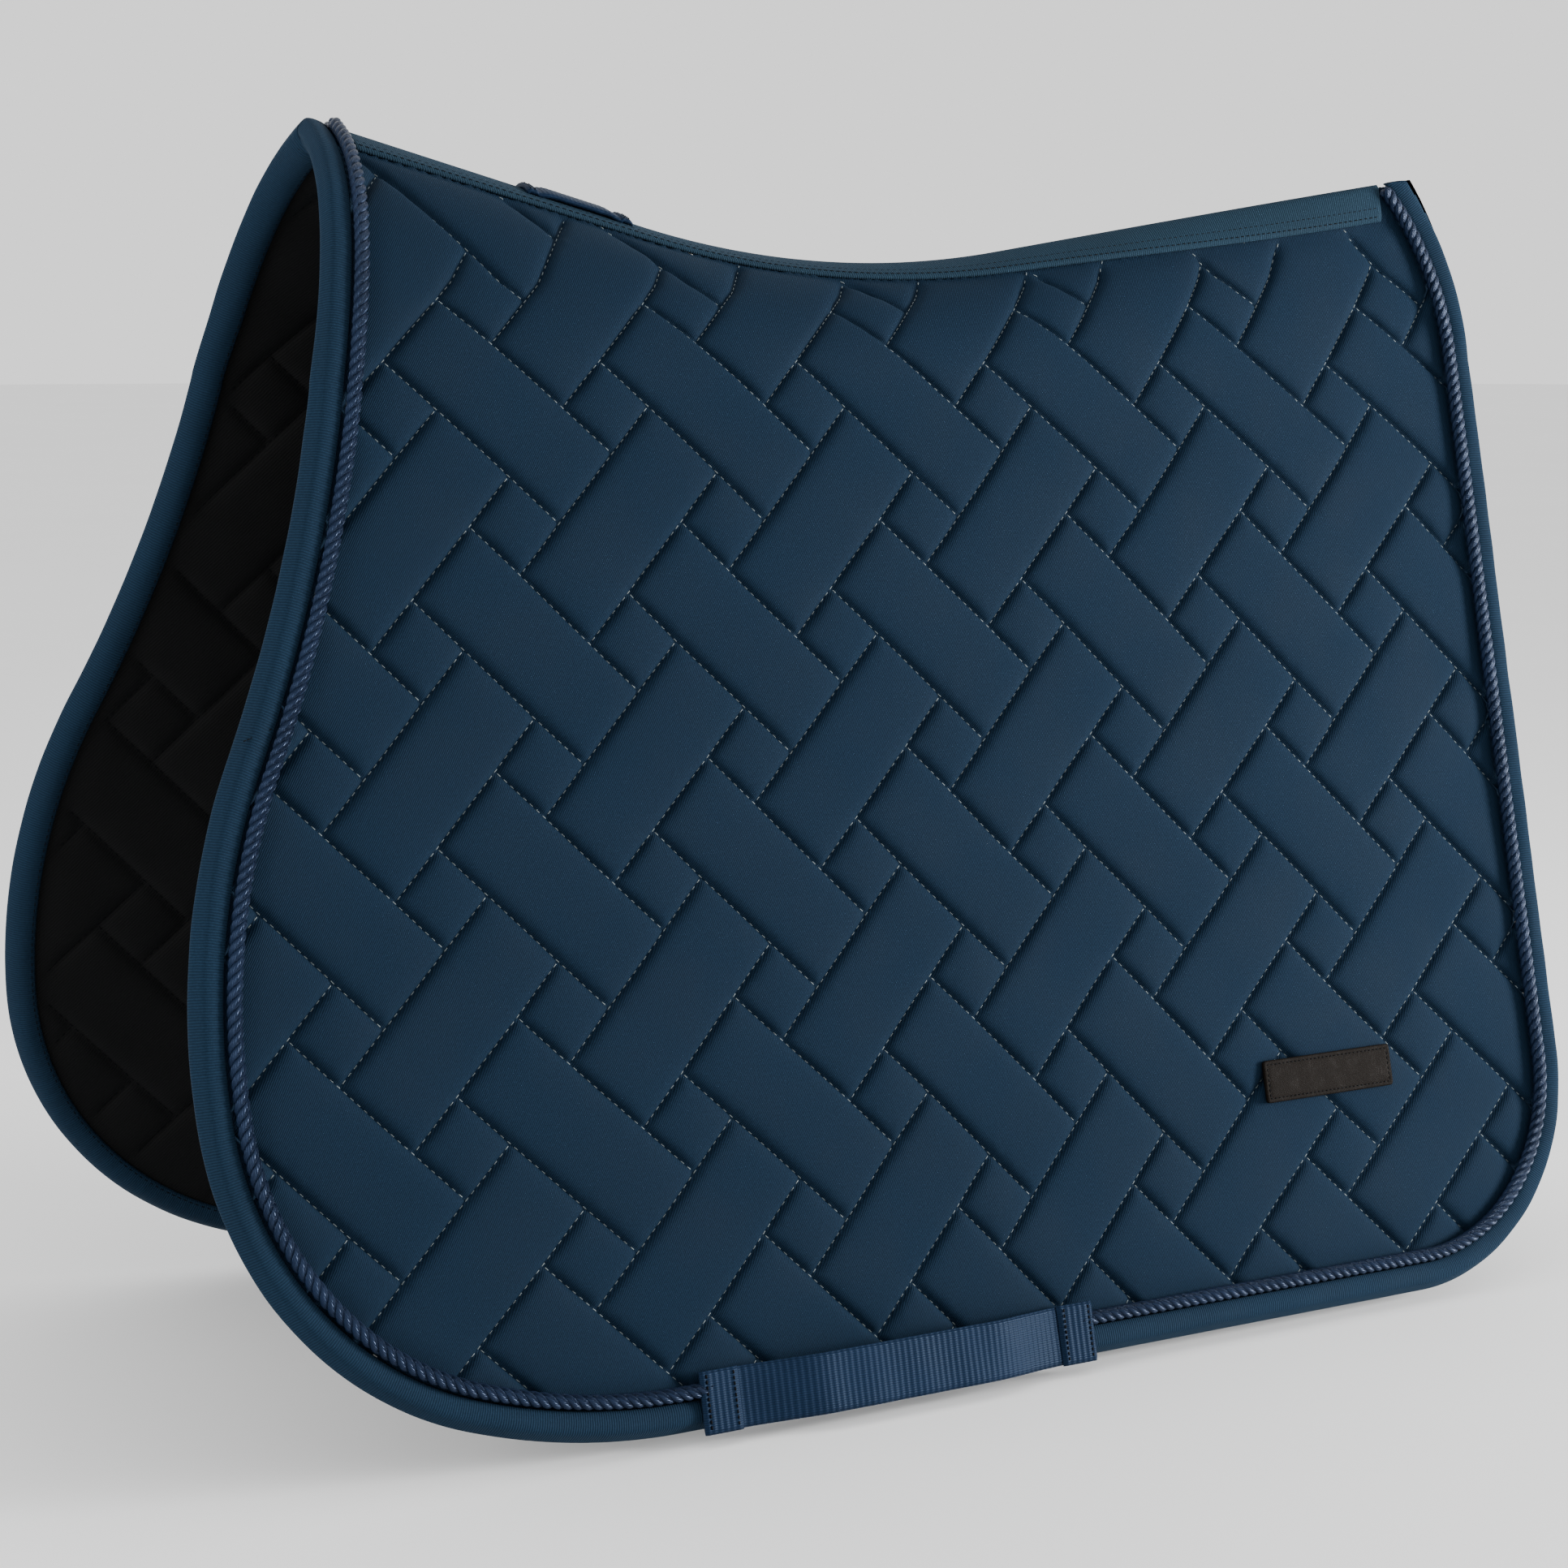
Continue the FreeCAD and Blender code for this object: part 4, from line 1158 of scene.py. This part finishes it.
class SADDLEPAD_OT_binding_thread(bpy.types.Operator):
    """Sew the binding down along its inner leg"""
    bl_idname = "saddlepad.binding_thread"
    bl_label = "Binding thread"

    def execute(self, context):
        point, inward, _ = edge_path(3.4, overrun=0.0)
        line = point + inward * (BINDING_WIDTH - 1.6)
        begin, finish = line[:-1], line[1:]
        middle = (begin + finish) / 2
        shorter = 0.72
        begin = middle + (begin - middle) * shorter
        finish = middle + (finish - middle) * shorter
        for name, side in SIDES:
            made = stitches(side, *begin.T, *finish.T, np.full(len(begin), -PANEL_DEPTH - 1.15),
                            2.3, 0.5, -0.3)
            piece = write_mesh(name + "_binding_thread", *made, MATERIALS["sewing_thread"],
                               weld_faces=False)
            across_fold(piece)
        self.join_ends()
        return {"FINISHED"}

    def join_ends(self):
        """Slanting seam where the ends of the left side's binding meet on the front edge."""
        point, inward, travel = edge_path(1.0, overrun=0.0)
        share = np.linspace(0.0, 1.0, 9)
        at = JOIN_PLACE - JOIN_SLANT * share
        line = np.stack([np.interp(at, travel, axis) for axis in point.T], axis=1)
        lean = np.stack([np.interp(at, travel, axis) for axis in inward.T], axis=1)
        line = line + lean * (1.5 + 9.5 * share)[:, None]
        made = stitches(-1, *line[:-1].T, *line[1:].T, np.full(8, 1.7), 1.5, 0.5, 0.2)
        piece = write_mesh("left_binding_join_thread", *made, MATERIALS["sewing_thread"])
        across_fold(piece)


def rope_route(front):
    """Even points (u, w) of the rope in front of, or behind, the girth loop."""
    point, inward, _ = edge_path(0.9, overrun=5.0)
    line = point + inward * ROPE_INSET
    low = line[:, 1] > LOOP_TOP - 60.0
    loop_middle = LOOP_FRONT + LOOP_LENGTH / 2
    tuck = 6.0
    if front:
        keep = ~low | (line[:, 0] < LOOP_FRONT + tuck)
        keep &= np.arange(len(line)) < np.argmin(np.hypot(line[:, 0] - loop_middle,
                                                          line[:, 1] - LOOP_TOP))
    else:
        keep = ~low | (line[:, 0] > LOOP_FRONT + LOOP_LENGTH - tuck)
        keep &= np.arange(len(line)) > np.argmin(np.hypot(line[:, 0] - loop_middle,
                                                          line[:, 1] - LOOP_TOP))
    return line[keep]


def strand_points(side, route, phase, trim):
    """Rings of one strand of the rope as it winds round the rope's own line."""
    spacing, strand = trim.strand_spacing / MM, trim.strand_radius / MM
    lay = 3.0 * spacing
    wind = ROPE_DIAMETER / 2 - strand
    height = ROPE_DIAMETER / 2 - 0.9
    travel = np.concatenate(([0.0], np.cumsum(np.hypot(*np.diff(route, axis=0).T))))
    centre = surface(side, *route.T, height)
    above = surface(side, *route.T, height + 1.0)
    ahead = unit(np.gradient(centre, axis=0))
    outward = above - centre
    outward = unit(outward - ahead * (outward * ahead).sum(axis=1, keepdims=True))
    beside = np.cross(ahead, outward)
    angle = (travel / lay * math.tau + phase)[:, None]
    middle = centre + wind * (np.cos(angle) * outward + np.sin(angle) * beside)
    run = unit(np.gradient(middle, axis=0))
    up = outward - run * (outward * run).sum(axis=1, keepdims=True)
    up = unit(up)
    across = np.cross(run, up)
    ring = 9
    turn = np.arange(ring) * math.tau / ring
    rings = (middle[:, None, :] + strand * (np.cos(turn)[None, :, None] * up[:, None, :]
                                            + np.sin(turn)[None, :, None] * across[:, None, :]))
    along = np.repeat(travel[:, None], ring, axis=1)
    cloth = np.stack((along, np.tile(turn * strand, (len(route), 1)), np.zeros_like(along)),
                     axis=-1)
    return rings.reshape(-1, 3), grid_faces(len(route), ring, True, True), cloth.reshape(-1, 3)


class SADDLEPAD_OT_rope(bpy.types.Operator):
    """Twist the three strands of the rope trim beside the binding"""
    bl_idname = "saddlepad.rope"
    bl_label = "Rope trim"

    def execute(self, context):
        trim = settings(context)[1]
        for name, side in SIDES:
            for end, front, spine_node in (("front", True, "withers"), ("rear", False, "loin")):
                route = rope_route(front)
                made = merged(strand_points(side, route, strand * math.tau / 3, trim)
                              for strand in range(3))
                piece = write_mesh("%s_%s_rope" % (name, end), *made, MATERIALS["rope"])
                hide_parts("%s_%s_rope_trim" % (name, end), spine_node + "_rope_trim")
                across_fold(piece)
        return {"FINISHED"}


def spine_band(u, half_width, columns, low, high, shape=None):
    """Closed band along the spine: points, faces and cloth coordinates.

    The band lies between two heights n.  shape(share across, u) adds to both of them.
    """
    across = np.linspace(-half_width, half_width, columns)
    grid_u, grid_r = np.meshgrid(u, across, indexing="ij")
    extra = 0.0 if shape is None else shape(grid_r / half_width, grid_u)
    layers = []
    for n in (high + extra, low + extra):
        w = spine_w(grid_u.ravel()).reshape(grid_u.shape) + np.abs(grid_r)
        left = surface(-1, grid_u, w, n)
        right = surface(1, grid_u, w, n)
        layers.append(np.where((grid_r < 0)[..., None], left, right))
    for layer in layers:
        layer[:, columns // 2, 1] = 0.0
    ring = np.concatenate((layers[0], layers[1][:, ::-1]), axis=1)
    flat = np.concatenate((grid_r, grid_r[:, ::-1]), axis=1)
    along = np.concatenate((grid_u, grid_u), axis=1)
    cloth = np.stack((along, flat, np.zeros_like(flat)), axis=-1).reshape(-1, 3)
    faces = grid_faces(len(u), 2 * columns, True, True)
    return ring.reshape(-1, 3), faces, cloth


def inset_u(inset):
    """u of the two ends of the spine, an inset in from the pad's cut ends."""
    front = arch_end(True)[-1, 0] + inset
    rear = arch_end(False)[-1, 0] - inset
    return front, rear


def spine_row(u_start, u_end, distance, n, pitch, length, width):
    """Stitches beside the spine on both sides, at one distance from it."""
    middles = np.arange(u_start + pitch, u_end - pitch, pitch)
    begin_u, end_u = middles - length / 2, middles + length / 2
    begin_w, end_w = spine_w(begin_u) + distance, spine_w(end_u) + distance
    return merged(stitches(side, begin_u, begin_w, end_u, end_w, np.full(len(middles), n),
                           length, width, 0.25) for _, side in SIDES)


class SADDLEPAD_OT_spine(bpy.types.Operator):
    """Lay the tape, its stitching, the seam tape and the withers tab along the spine"""
    bl_idname = "saddlepad.spine"
    bl_label = "Spine tapes and tab"

    def execute(self, context):
        clear = ROPE_INSET + ROPE_DIAMETER / 2 - 0.6
        front, rear = inset_u(clear)
        u = np.linspace(front, rear, 240)

        def tape_shape(share, _):
            return 0.35 * np.cos(share * math.pi / 2) - 0.9 * smooth(0.86, 1.0, np.abs(share))

        made = spine_band(u, TAPE_HALF_WIDTH + 0.4, 25, -0.2, 1.0, tape_shape)
        tape = write_mesh("spine_tape_cloth", *made, MATERIALS["tape"], clean=0.02)
        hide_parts("spine_tape")
        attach(tape, "spine")
        for label, distance in TAPE_SEAMS:
            made = spine_row(front, rear, distance, 1.12, 3.0, 2.1, 0.42)
            piece = write_mesh("spine_tape_%s_stitching" % label, *made,
                               MATERIALS["sewing_thread"], weld_faces=False)
            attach(piece, "spine")

        front, rear = inset_u(BINDING_WIDTH + 0.5)
        u = np.linspace(front, rear, 160)
        made = spine_band(u, SEAM_TAPE_HALF_WIDTH, 21, -PANEL_DEPTH - 1.5, -PANEL_DEPTH - 0.3)
        seam = write_mesh("spine_seam_tape_cloth", *made, MATERIALS["seam_tape"], clean=0.02)
        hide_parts("spine_seam_tape")
        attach(seam, "spine")
        self.make_tab()
        return {"FINISHED"}

    def make_tab(self):
        """Short strap sewn across the spine near the withers, with turned and sewn ends."""
        first = TAB_FRONT / ALONG[0] + 1.0
        last = first + TAB_LENGTH
        u = np.linspace(first, last, 110)

        def tab_shape(share, at):
            from_end = np.minimum(at - first, last - at)
            lift = 1.5 * smooth(3.0, 12.0, from_end)
            turned = 1.0 * (1.0 - smooth(4.2, 5.4, from_end))
            rolled = -0.5 * smooth(0.75, 1.0, np.abs(share)) - 0.9 * (1 - smooth(0.0, 1.2, from_end))
            ribs = 0.1 * np.sin(at * math.tau / 2.0)
            return lift + turned + rolled + ribs

        made = spine_band(u, TAB_HALF_WIDTH, 17, 1.3, 3.0, tab_shape)
        tab = write_mesh("withers_tab_webbing", *made, MATERIALS["webbing"], clean=0.02)
        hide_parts("withers_tab")
        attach(tab, "spine")
        parts = []
        across = np.arange(1.0, TAB_HALF_WIDTH - 0.6, 1.7)
        for _, side in SIDES:
            for at in (first + 1.6, first + 3.6, last - 3.6, last - 1.6):
                at_u = np.full(len(across), at)
                top = spine_w(at_u)
                parts.append(stitches(side, at_u, top + across - 0.6, at_u, top + across + 0.6,
                                      np.full(len(across), 4.05), 1.25, 0.55, 0.3))
        piece = write_mesh("withers_tab_stitching", *merged(parts), MATERIALS["sewing_thread"],
                           weld_faces=False)
        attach(piece, "spine")


def loop_height(u):
    """n of the underside of the girth loop along its length."""
    rear = LOOP_FRONT + LOOP_LENGTH
    from_end = np.minimum(u - LOOP_FRONT, rear - u)
    return LOOP_SEAT + LOOP_STANDOFF * smooth(LOOP_END - 2.0, LOOP_END + LOOP_RAMP, from_end)


def webbing_strip(side, u, top, width, low, high, columns, trim, pitch=2.9):
    """Closed strip of ribbed webbing across which the ribs run."""
    v = np.linspace(0.0, width, columns)
    grid_u, grid_v = np.meshgrid(u, v, indexing="ij")
    share = np.abs(grid_v / width * 2.0 - 1.0)
    ribs = trim.rib_height / MM * np.sin(grid_u * math.tau / pitch)
    selvedge = -0.45 * smooth(0.9, 1.0, share)
    wave = 0.25 * ripple(grid_u, grid_v, 30.0, 41)
    upper = high[:, None] + ribs + selvedge + wave
    lower = low[:, None] - 0.5 * ribs - selvedge + wave
    layers = [surface(side, grid_u, top + grid_v, n) for n in (upper, lower)]
    ring = np.concatenate((layers[0], layers[1][:, ::-1]), axis=1)
    flat_u = np.concatenate((grid_u, grid_u), axis=1)
    flat_v = np.concatenate((grid_v, grid_v[:, ::-1]), axis=1)
    cloth = np.stack((flat_u, flat_v, np.zeros_like(flat_u)), axis=-1).reshape(-1, 3)
    return ring.reshape(-1, 3), grid_faces(len(u), 2 * columns, True, True), cloth


class SADDLEPAD_OT_girth_loops(bpy.types.Operator):
    """Make the webbing loop that keeps the girth in place on each flap"""
    bl_idname = "saddlepad.girth_loops"
    bl_label = "Girth loops"

    def execute(self, context):
        trim = settings(context)[1]
        rear = LOOP_FRONT + LOOP_LENGTH
        u = np.arange(LOOP_FRONT + 1.0, rear - 1.0, 0.58)
        under = loop_height(u)
        for name, side in SIDES:
            made = webbing_strip(side, u, LOOP_TOP, WEBBING_WIDTH, under,
                                 under + WEBBING_THICKNESS, 13, trim)
            strap = write_mesh(name + "_loop_webbing", *made, MATERIALS["webbing"])
            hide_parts(name + "_girth_loop")
            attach(strap, name + "_flap")
            for label, first, last in (("front", LOOP_FRONT, LOOP_FRONT + LOOP_END),
                                       ("rear", rear - LOOP_END, rear)):
                at = np.arange(first, last + 0.01, 0.5)
                from_end = np.minimum(at - first, last - at)
                rounded = 0.9 * (1.0 - smooth(0.0, 1.6, from_end))
                low = np.full(len(at), LOOP_SEAT + WEBBING_THICKNESS)
                made = webbing_strip(side, at, LOOP_TOP - 0.4, WEBBING_WIDTH + 0.8, low - 0.3,
                                     low + WEBBING_THICKNESS - rounded, 13, trim)
                fold = write_mesh("%s_loop_%s_fold" % (name, label), *made,
                                  MATERIALS["webbing"])
                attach(fold, name + "_flap")
            self.sew(name, side, rear)
        return {"FINISHED"}

    def sew(self, name, side, rear):
        """Two rows of dark thread across each folded end."""
        rows = (LOOP_FRONT + 2.6, LOOP_FRONT + LOOP_END - 2.6, rear - LOOP_END + 2.6, rear - 2.6)
        middles = np.arange(LOOP_TOP + 1.8, LOOP_TOP + WEBBING_WIDTH - 1.2, 2.3)
        u = np.repeat(rows, len(middles))
        w = np.tile(middles, len(rows))
        n = np.full(len(u), LOOP_SEAT + 2 * WEBBING_THICKNESS + 0.12)
        made = stitches(side, u, w - 0.9, u, w + 0.9, n, 1.8, 0.75, 0.35)
        piece = write_mesh(name + "_loop_stitches", *made, MATERIALS["sewing_thread"],
                           weld_faces=False)
        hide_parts(name + "_girth_loop_stitching")
        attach(piece, name + "_flap")


class SADDLEPAD_OT_patch(bpy.types.Operator):
    """Sew the blank leather patch on the left flap"""
    bl_idname = "saddlepad.patch"
    bl_label = "Leather patch"

    def execute(self, context):
        side = -1
        step = 0.6
        across = np.linspace(0.0, PATCH_LENGTH, int(PATCH_LENGTH / step))
        down = np.linspace(0.0, PATCH_WIDTH, int(PATCH_WIDTH / step))
        grid_x, grid_y = np.meshgrid(across, down, indexing="ij")
        corner = 1.6
        centre_x, centre_y = PATCH_LENGTH / 2, PATCH_WIDTH / 2
        away_x = np.maximum(np.abs(grid_x - centre_x) - (centre_x - corner), 0.0)
        away_y = np.maximum(np.abs(grid_y - centre_y) - (centre_y - corner), 0.0)
        reach = np.maximum(np.hypot(away_x, away_y) / corner, 1.0)
        plain_x = np.clip(grid_x, corner, PATCH_LENGTH - corner)
        plain_y = np.clip(grid_y, corner, PATCH_WIDTH - corner)
        x = plain_x + (grid_x - plain_x) / reach
        y = plain_y + (grid_y - plain_y) / reach
        from_side = np.minimum(np.minimum(grid_x, PATCH_LENGTH - grid_x),
                               np.minimum(grid_y, PATCH_WIDTH - grid_y))
        crowned = 1.75 + 0.18 * smooth(2.4, 6.0, from_side) + 0.06 * ripple(x, y, 12.0, 51)
        pressed = -0.32 * np.exp(-((from_side - 1.9) / 0.55) ** 2)
        rolled = -0.35 * (1.0 - smooth(0.0, 0.9, from_side))
        top = surface(side, PATCH_FRONT + x, PATCH_TOP + y, crowned + pressed + rolled)
        base = surface(side, PATCH_FRONT + x, PATCH_TOP + y, 0.15)
        count = x.size
        sheet = np.array(grid_faces(len(across), len(down)))
        faces = np.concatenate((sheet, sheet[:, ::-1] + count, rim_quads(sheet, count)))
        cloth = np.stack((x, y, np.zeros_like(x)), axis=-1).reshape(-1, 3)
        piece = write_mesh("patch_leather", np.concatenate((top.reshape(-1, 3),
                                                            base.reshape(-1, 3))),
                           faces, np.concatenate((cloth, cloth)), MATERIALS["leather"])
        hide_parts("leather_patch")
        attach(piece, "left_flap")
        self.sew(side)
        return {"FINISHED"}

    def sew(self, side):
        """One row of dark stitches round the patch."""
        inset, pitch, length = 1.9, 2.3, 1.5
        rows = []
        for at in np.arange(inset + 0.6, PATCH_LENGTH - inset, pitch):
            for edge in (inset, PATCH_WIDTH - inset):
                rows.append((at, edge, 1.0, 0.0))
        for at in np.arange(inset + pitch, PATCH_WIDTH - inset, pitch):
            for edge in (inset, PATCH_LENGTH - inset):
                rows.append((edge, at, 0.0, 1.0))
        x, y, dx, dy = np.array(rows).T
        u, w = PATCH_FRONT + x, PATCH_TOP + y
        half = length / 2
        made = stitches(side, u - dx * half, w - dy * half, u + dx * half, w + dy * half,
                        np.full(len(u), 1.62), length, 0.5, 0.25)
        piece = write_mesh("patch_stitches", *made, MATERIALS["sewing_thread"],
                           weld_faces=False)
        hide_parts("leather_patch_stitching")
        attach(piece, "left_flap")


def look_at(thing, place, target):
    """Put a light or camera at a place, facing a target."""
    thing.location = place
    thing.rotation_mode = "QUATERNION"
    thing.rotation_quaternion = (Vector(target) - Vector(place)).to_track_quat("-Z", "Y")


def direction(azimuth, elevation):
    """Unit vector from the pad towards something at these angles; azimuth 0 is its left side."""
    return Vector((math.sin(azimuth) * math.cos(elevation),
                   -math.cos(azimuth) * math.cos(elevation), math.sin(elevation)))


class SADDLEPAD_OT_stage(bpy.types.Operator):
    """Make the pale floor, the soft lights and the camera"""
    bl_idname = "saddlepad.stage"
    bl_label = "Stage"

    def execute(self, context):
        stage = settings(context)[3]
        self.make_floor(context, stage)
        world = bpy.data.worlds.new("Studio")
        context.scene.world = world
        world.use_nodes = True
        background = world.node_tree.nodes["Background"]
        background.inputs["Color"].default_value = (1.0, 1.0, 1.0, 1.0)
        background.inputs["Strength"].default_value = SKY_STRENGTH
        middle = Vector(LIGHT_TARGET)
        powers = (stage.key, stage.fill)
        for (label, azimuth, elevation, away, size), power in zip(LIGHTS, powers):
            data = bpy.data.lights.new(label, "AREA")
            data.energy = power
            data.shape = "DISK"
            data.size = size
            lamp = bpy.data.objects.new(label, data)
            context.scene.collection.objects.link(lamp)
            place = middle + away * direction(math.radians(azimuth), math.radians(elevation))
            look_at(lamp, place, middle)
        data = bpy.data.cameras.new("Camera")
        data.lens = stage.lens
        data.sensor_width = SENSOR_WIDTH
        camera = bpy.data.objects.new("Camera", data)
        context.scene.collection.objects.link(camera)
        target = Vector(CAMERA_TARGET)
        place = target + stage.distance * direction(stage.azimuth, stage.elevation)
        look_at(camera, place, target)
        context.scene.camera = camera
        return {"FINISHED"}

    def make_floor(self, context, stage):
        """A wide round floor, just under the flaps."""
        height = CAD_BOX[0].z - FLOOR_DROP * MM
        angles = [k * math.tau / FLOOR_SEGMENTS for k in range(FLOOR_SEGMENTS)]
        ring = [(FLOOR_RADIUS * math.cos(angle), FLOOR_RADIUS * math.sin(angle), height)
                for angle in angles]
        mesh = bpy.data.meshes.new("floor")
        mesh.from_pydata(ring, [], [tuple(range(FLOOR_SEGMENTS))])
        floor = bpy.data.objects.new("floor", mesh)
        context.scene.collection.objects.link(floor)
        material, shader, principled = new_material("Pale floor", 0.0, 0.5, (1, 1, 1, 1), 0.2)
        position = shader.add("ShaderNodeTexCoord").outputs["Object"]
        tone = shader.spread(shader.noise(position, 3.0), 0.3, 0.7, 0.98, 1.0)
        grey = shader.add("ShaderNodeCombineXYZ", {"X": tone, "Y": tone, "Z": tone}).outputs[0]
        shader.feed(principled.inputs["Base Color"],
                    shader.mix(1.0, (*stage.floor, 1.0), grey, "MULTIPLY"))
        principled.inputs["Roughness"].default_value = 0.8
        mesh.materials.append(material)


PIECES = (
    SADDLEPAD_OT_materials,
    SADDLEPAD_OT_stage,
    SADDLEPAD_OT_foam,
    SADDLEPAD_OT_outer_fabric,
    SADDLEPAD_OT_lining,
    SADDLEPAD_OT_quilting_thread,
    SADDLEPAD_OT_binding,
    SADDLEPAD_OT_binding_thread,
    SADDLEPAD_OT_rope,
    SADDLEPAD_OT_spine,
    SADDLEPAD_OT_girth_loops,
    SADDLEPAD_OT_patch,
)


class SADDLEPAD_PT_panel(bpy.types.Panel):
    """Settings and pieces of the saddle pad"""
    bl_idname = "SADDLEPAD_PT_panel"
    bl_label = "Saddle pad"
    bl_space_type = "VIEW_3D"
    bl_region_type = "UI"
    bl_category = "Saddle pad"

    def draw(self, context):
        for group in settings(context):
            box = self.layout.box()
            for name in group.__annotations__:
                box.prop(group, name)
        for piece in PIECES:
            self.layout.operator(piece.bl_idname)


GROUPS = (
    ("pad_quilt", QuiltSettings),
    ("pad_trim", TrimSettings),
    ("pad_colours", ColourSettings),
    ("pad_stage", StageSettings),
)
CLASSES = tuple(group for _, group in GROUPS) + PIECES + (SADDLEPAD_PT_panel,)


def register():
    """Register the add-on's classes and its settings."""
    for item in CLASSES:
        bpy.utils.register_class(item)
    for name, group in GROUPS:
        setattr(bpy.types.Scene, name, bpy.props.PointerProperty(type=group))


def unregister():
    """Remove the add-on's settings and classes."""
    for name, _ in GROUPS:
        delattr(bpy.types.Scene, name)
    for item in reversed(CLASSES):
        bpy.utils.unregister_class(item)


def main():
    """Make the whole pad."""
    register()
    for piece in PIECES:
        family, name = piece.bl_idname.split(".")
        getattr(getattr(bpy.ops, family), name)()
    bpy.context.view_layer.update()


if __name__ == "__main__":
    main()
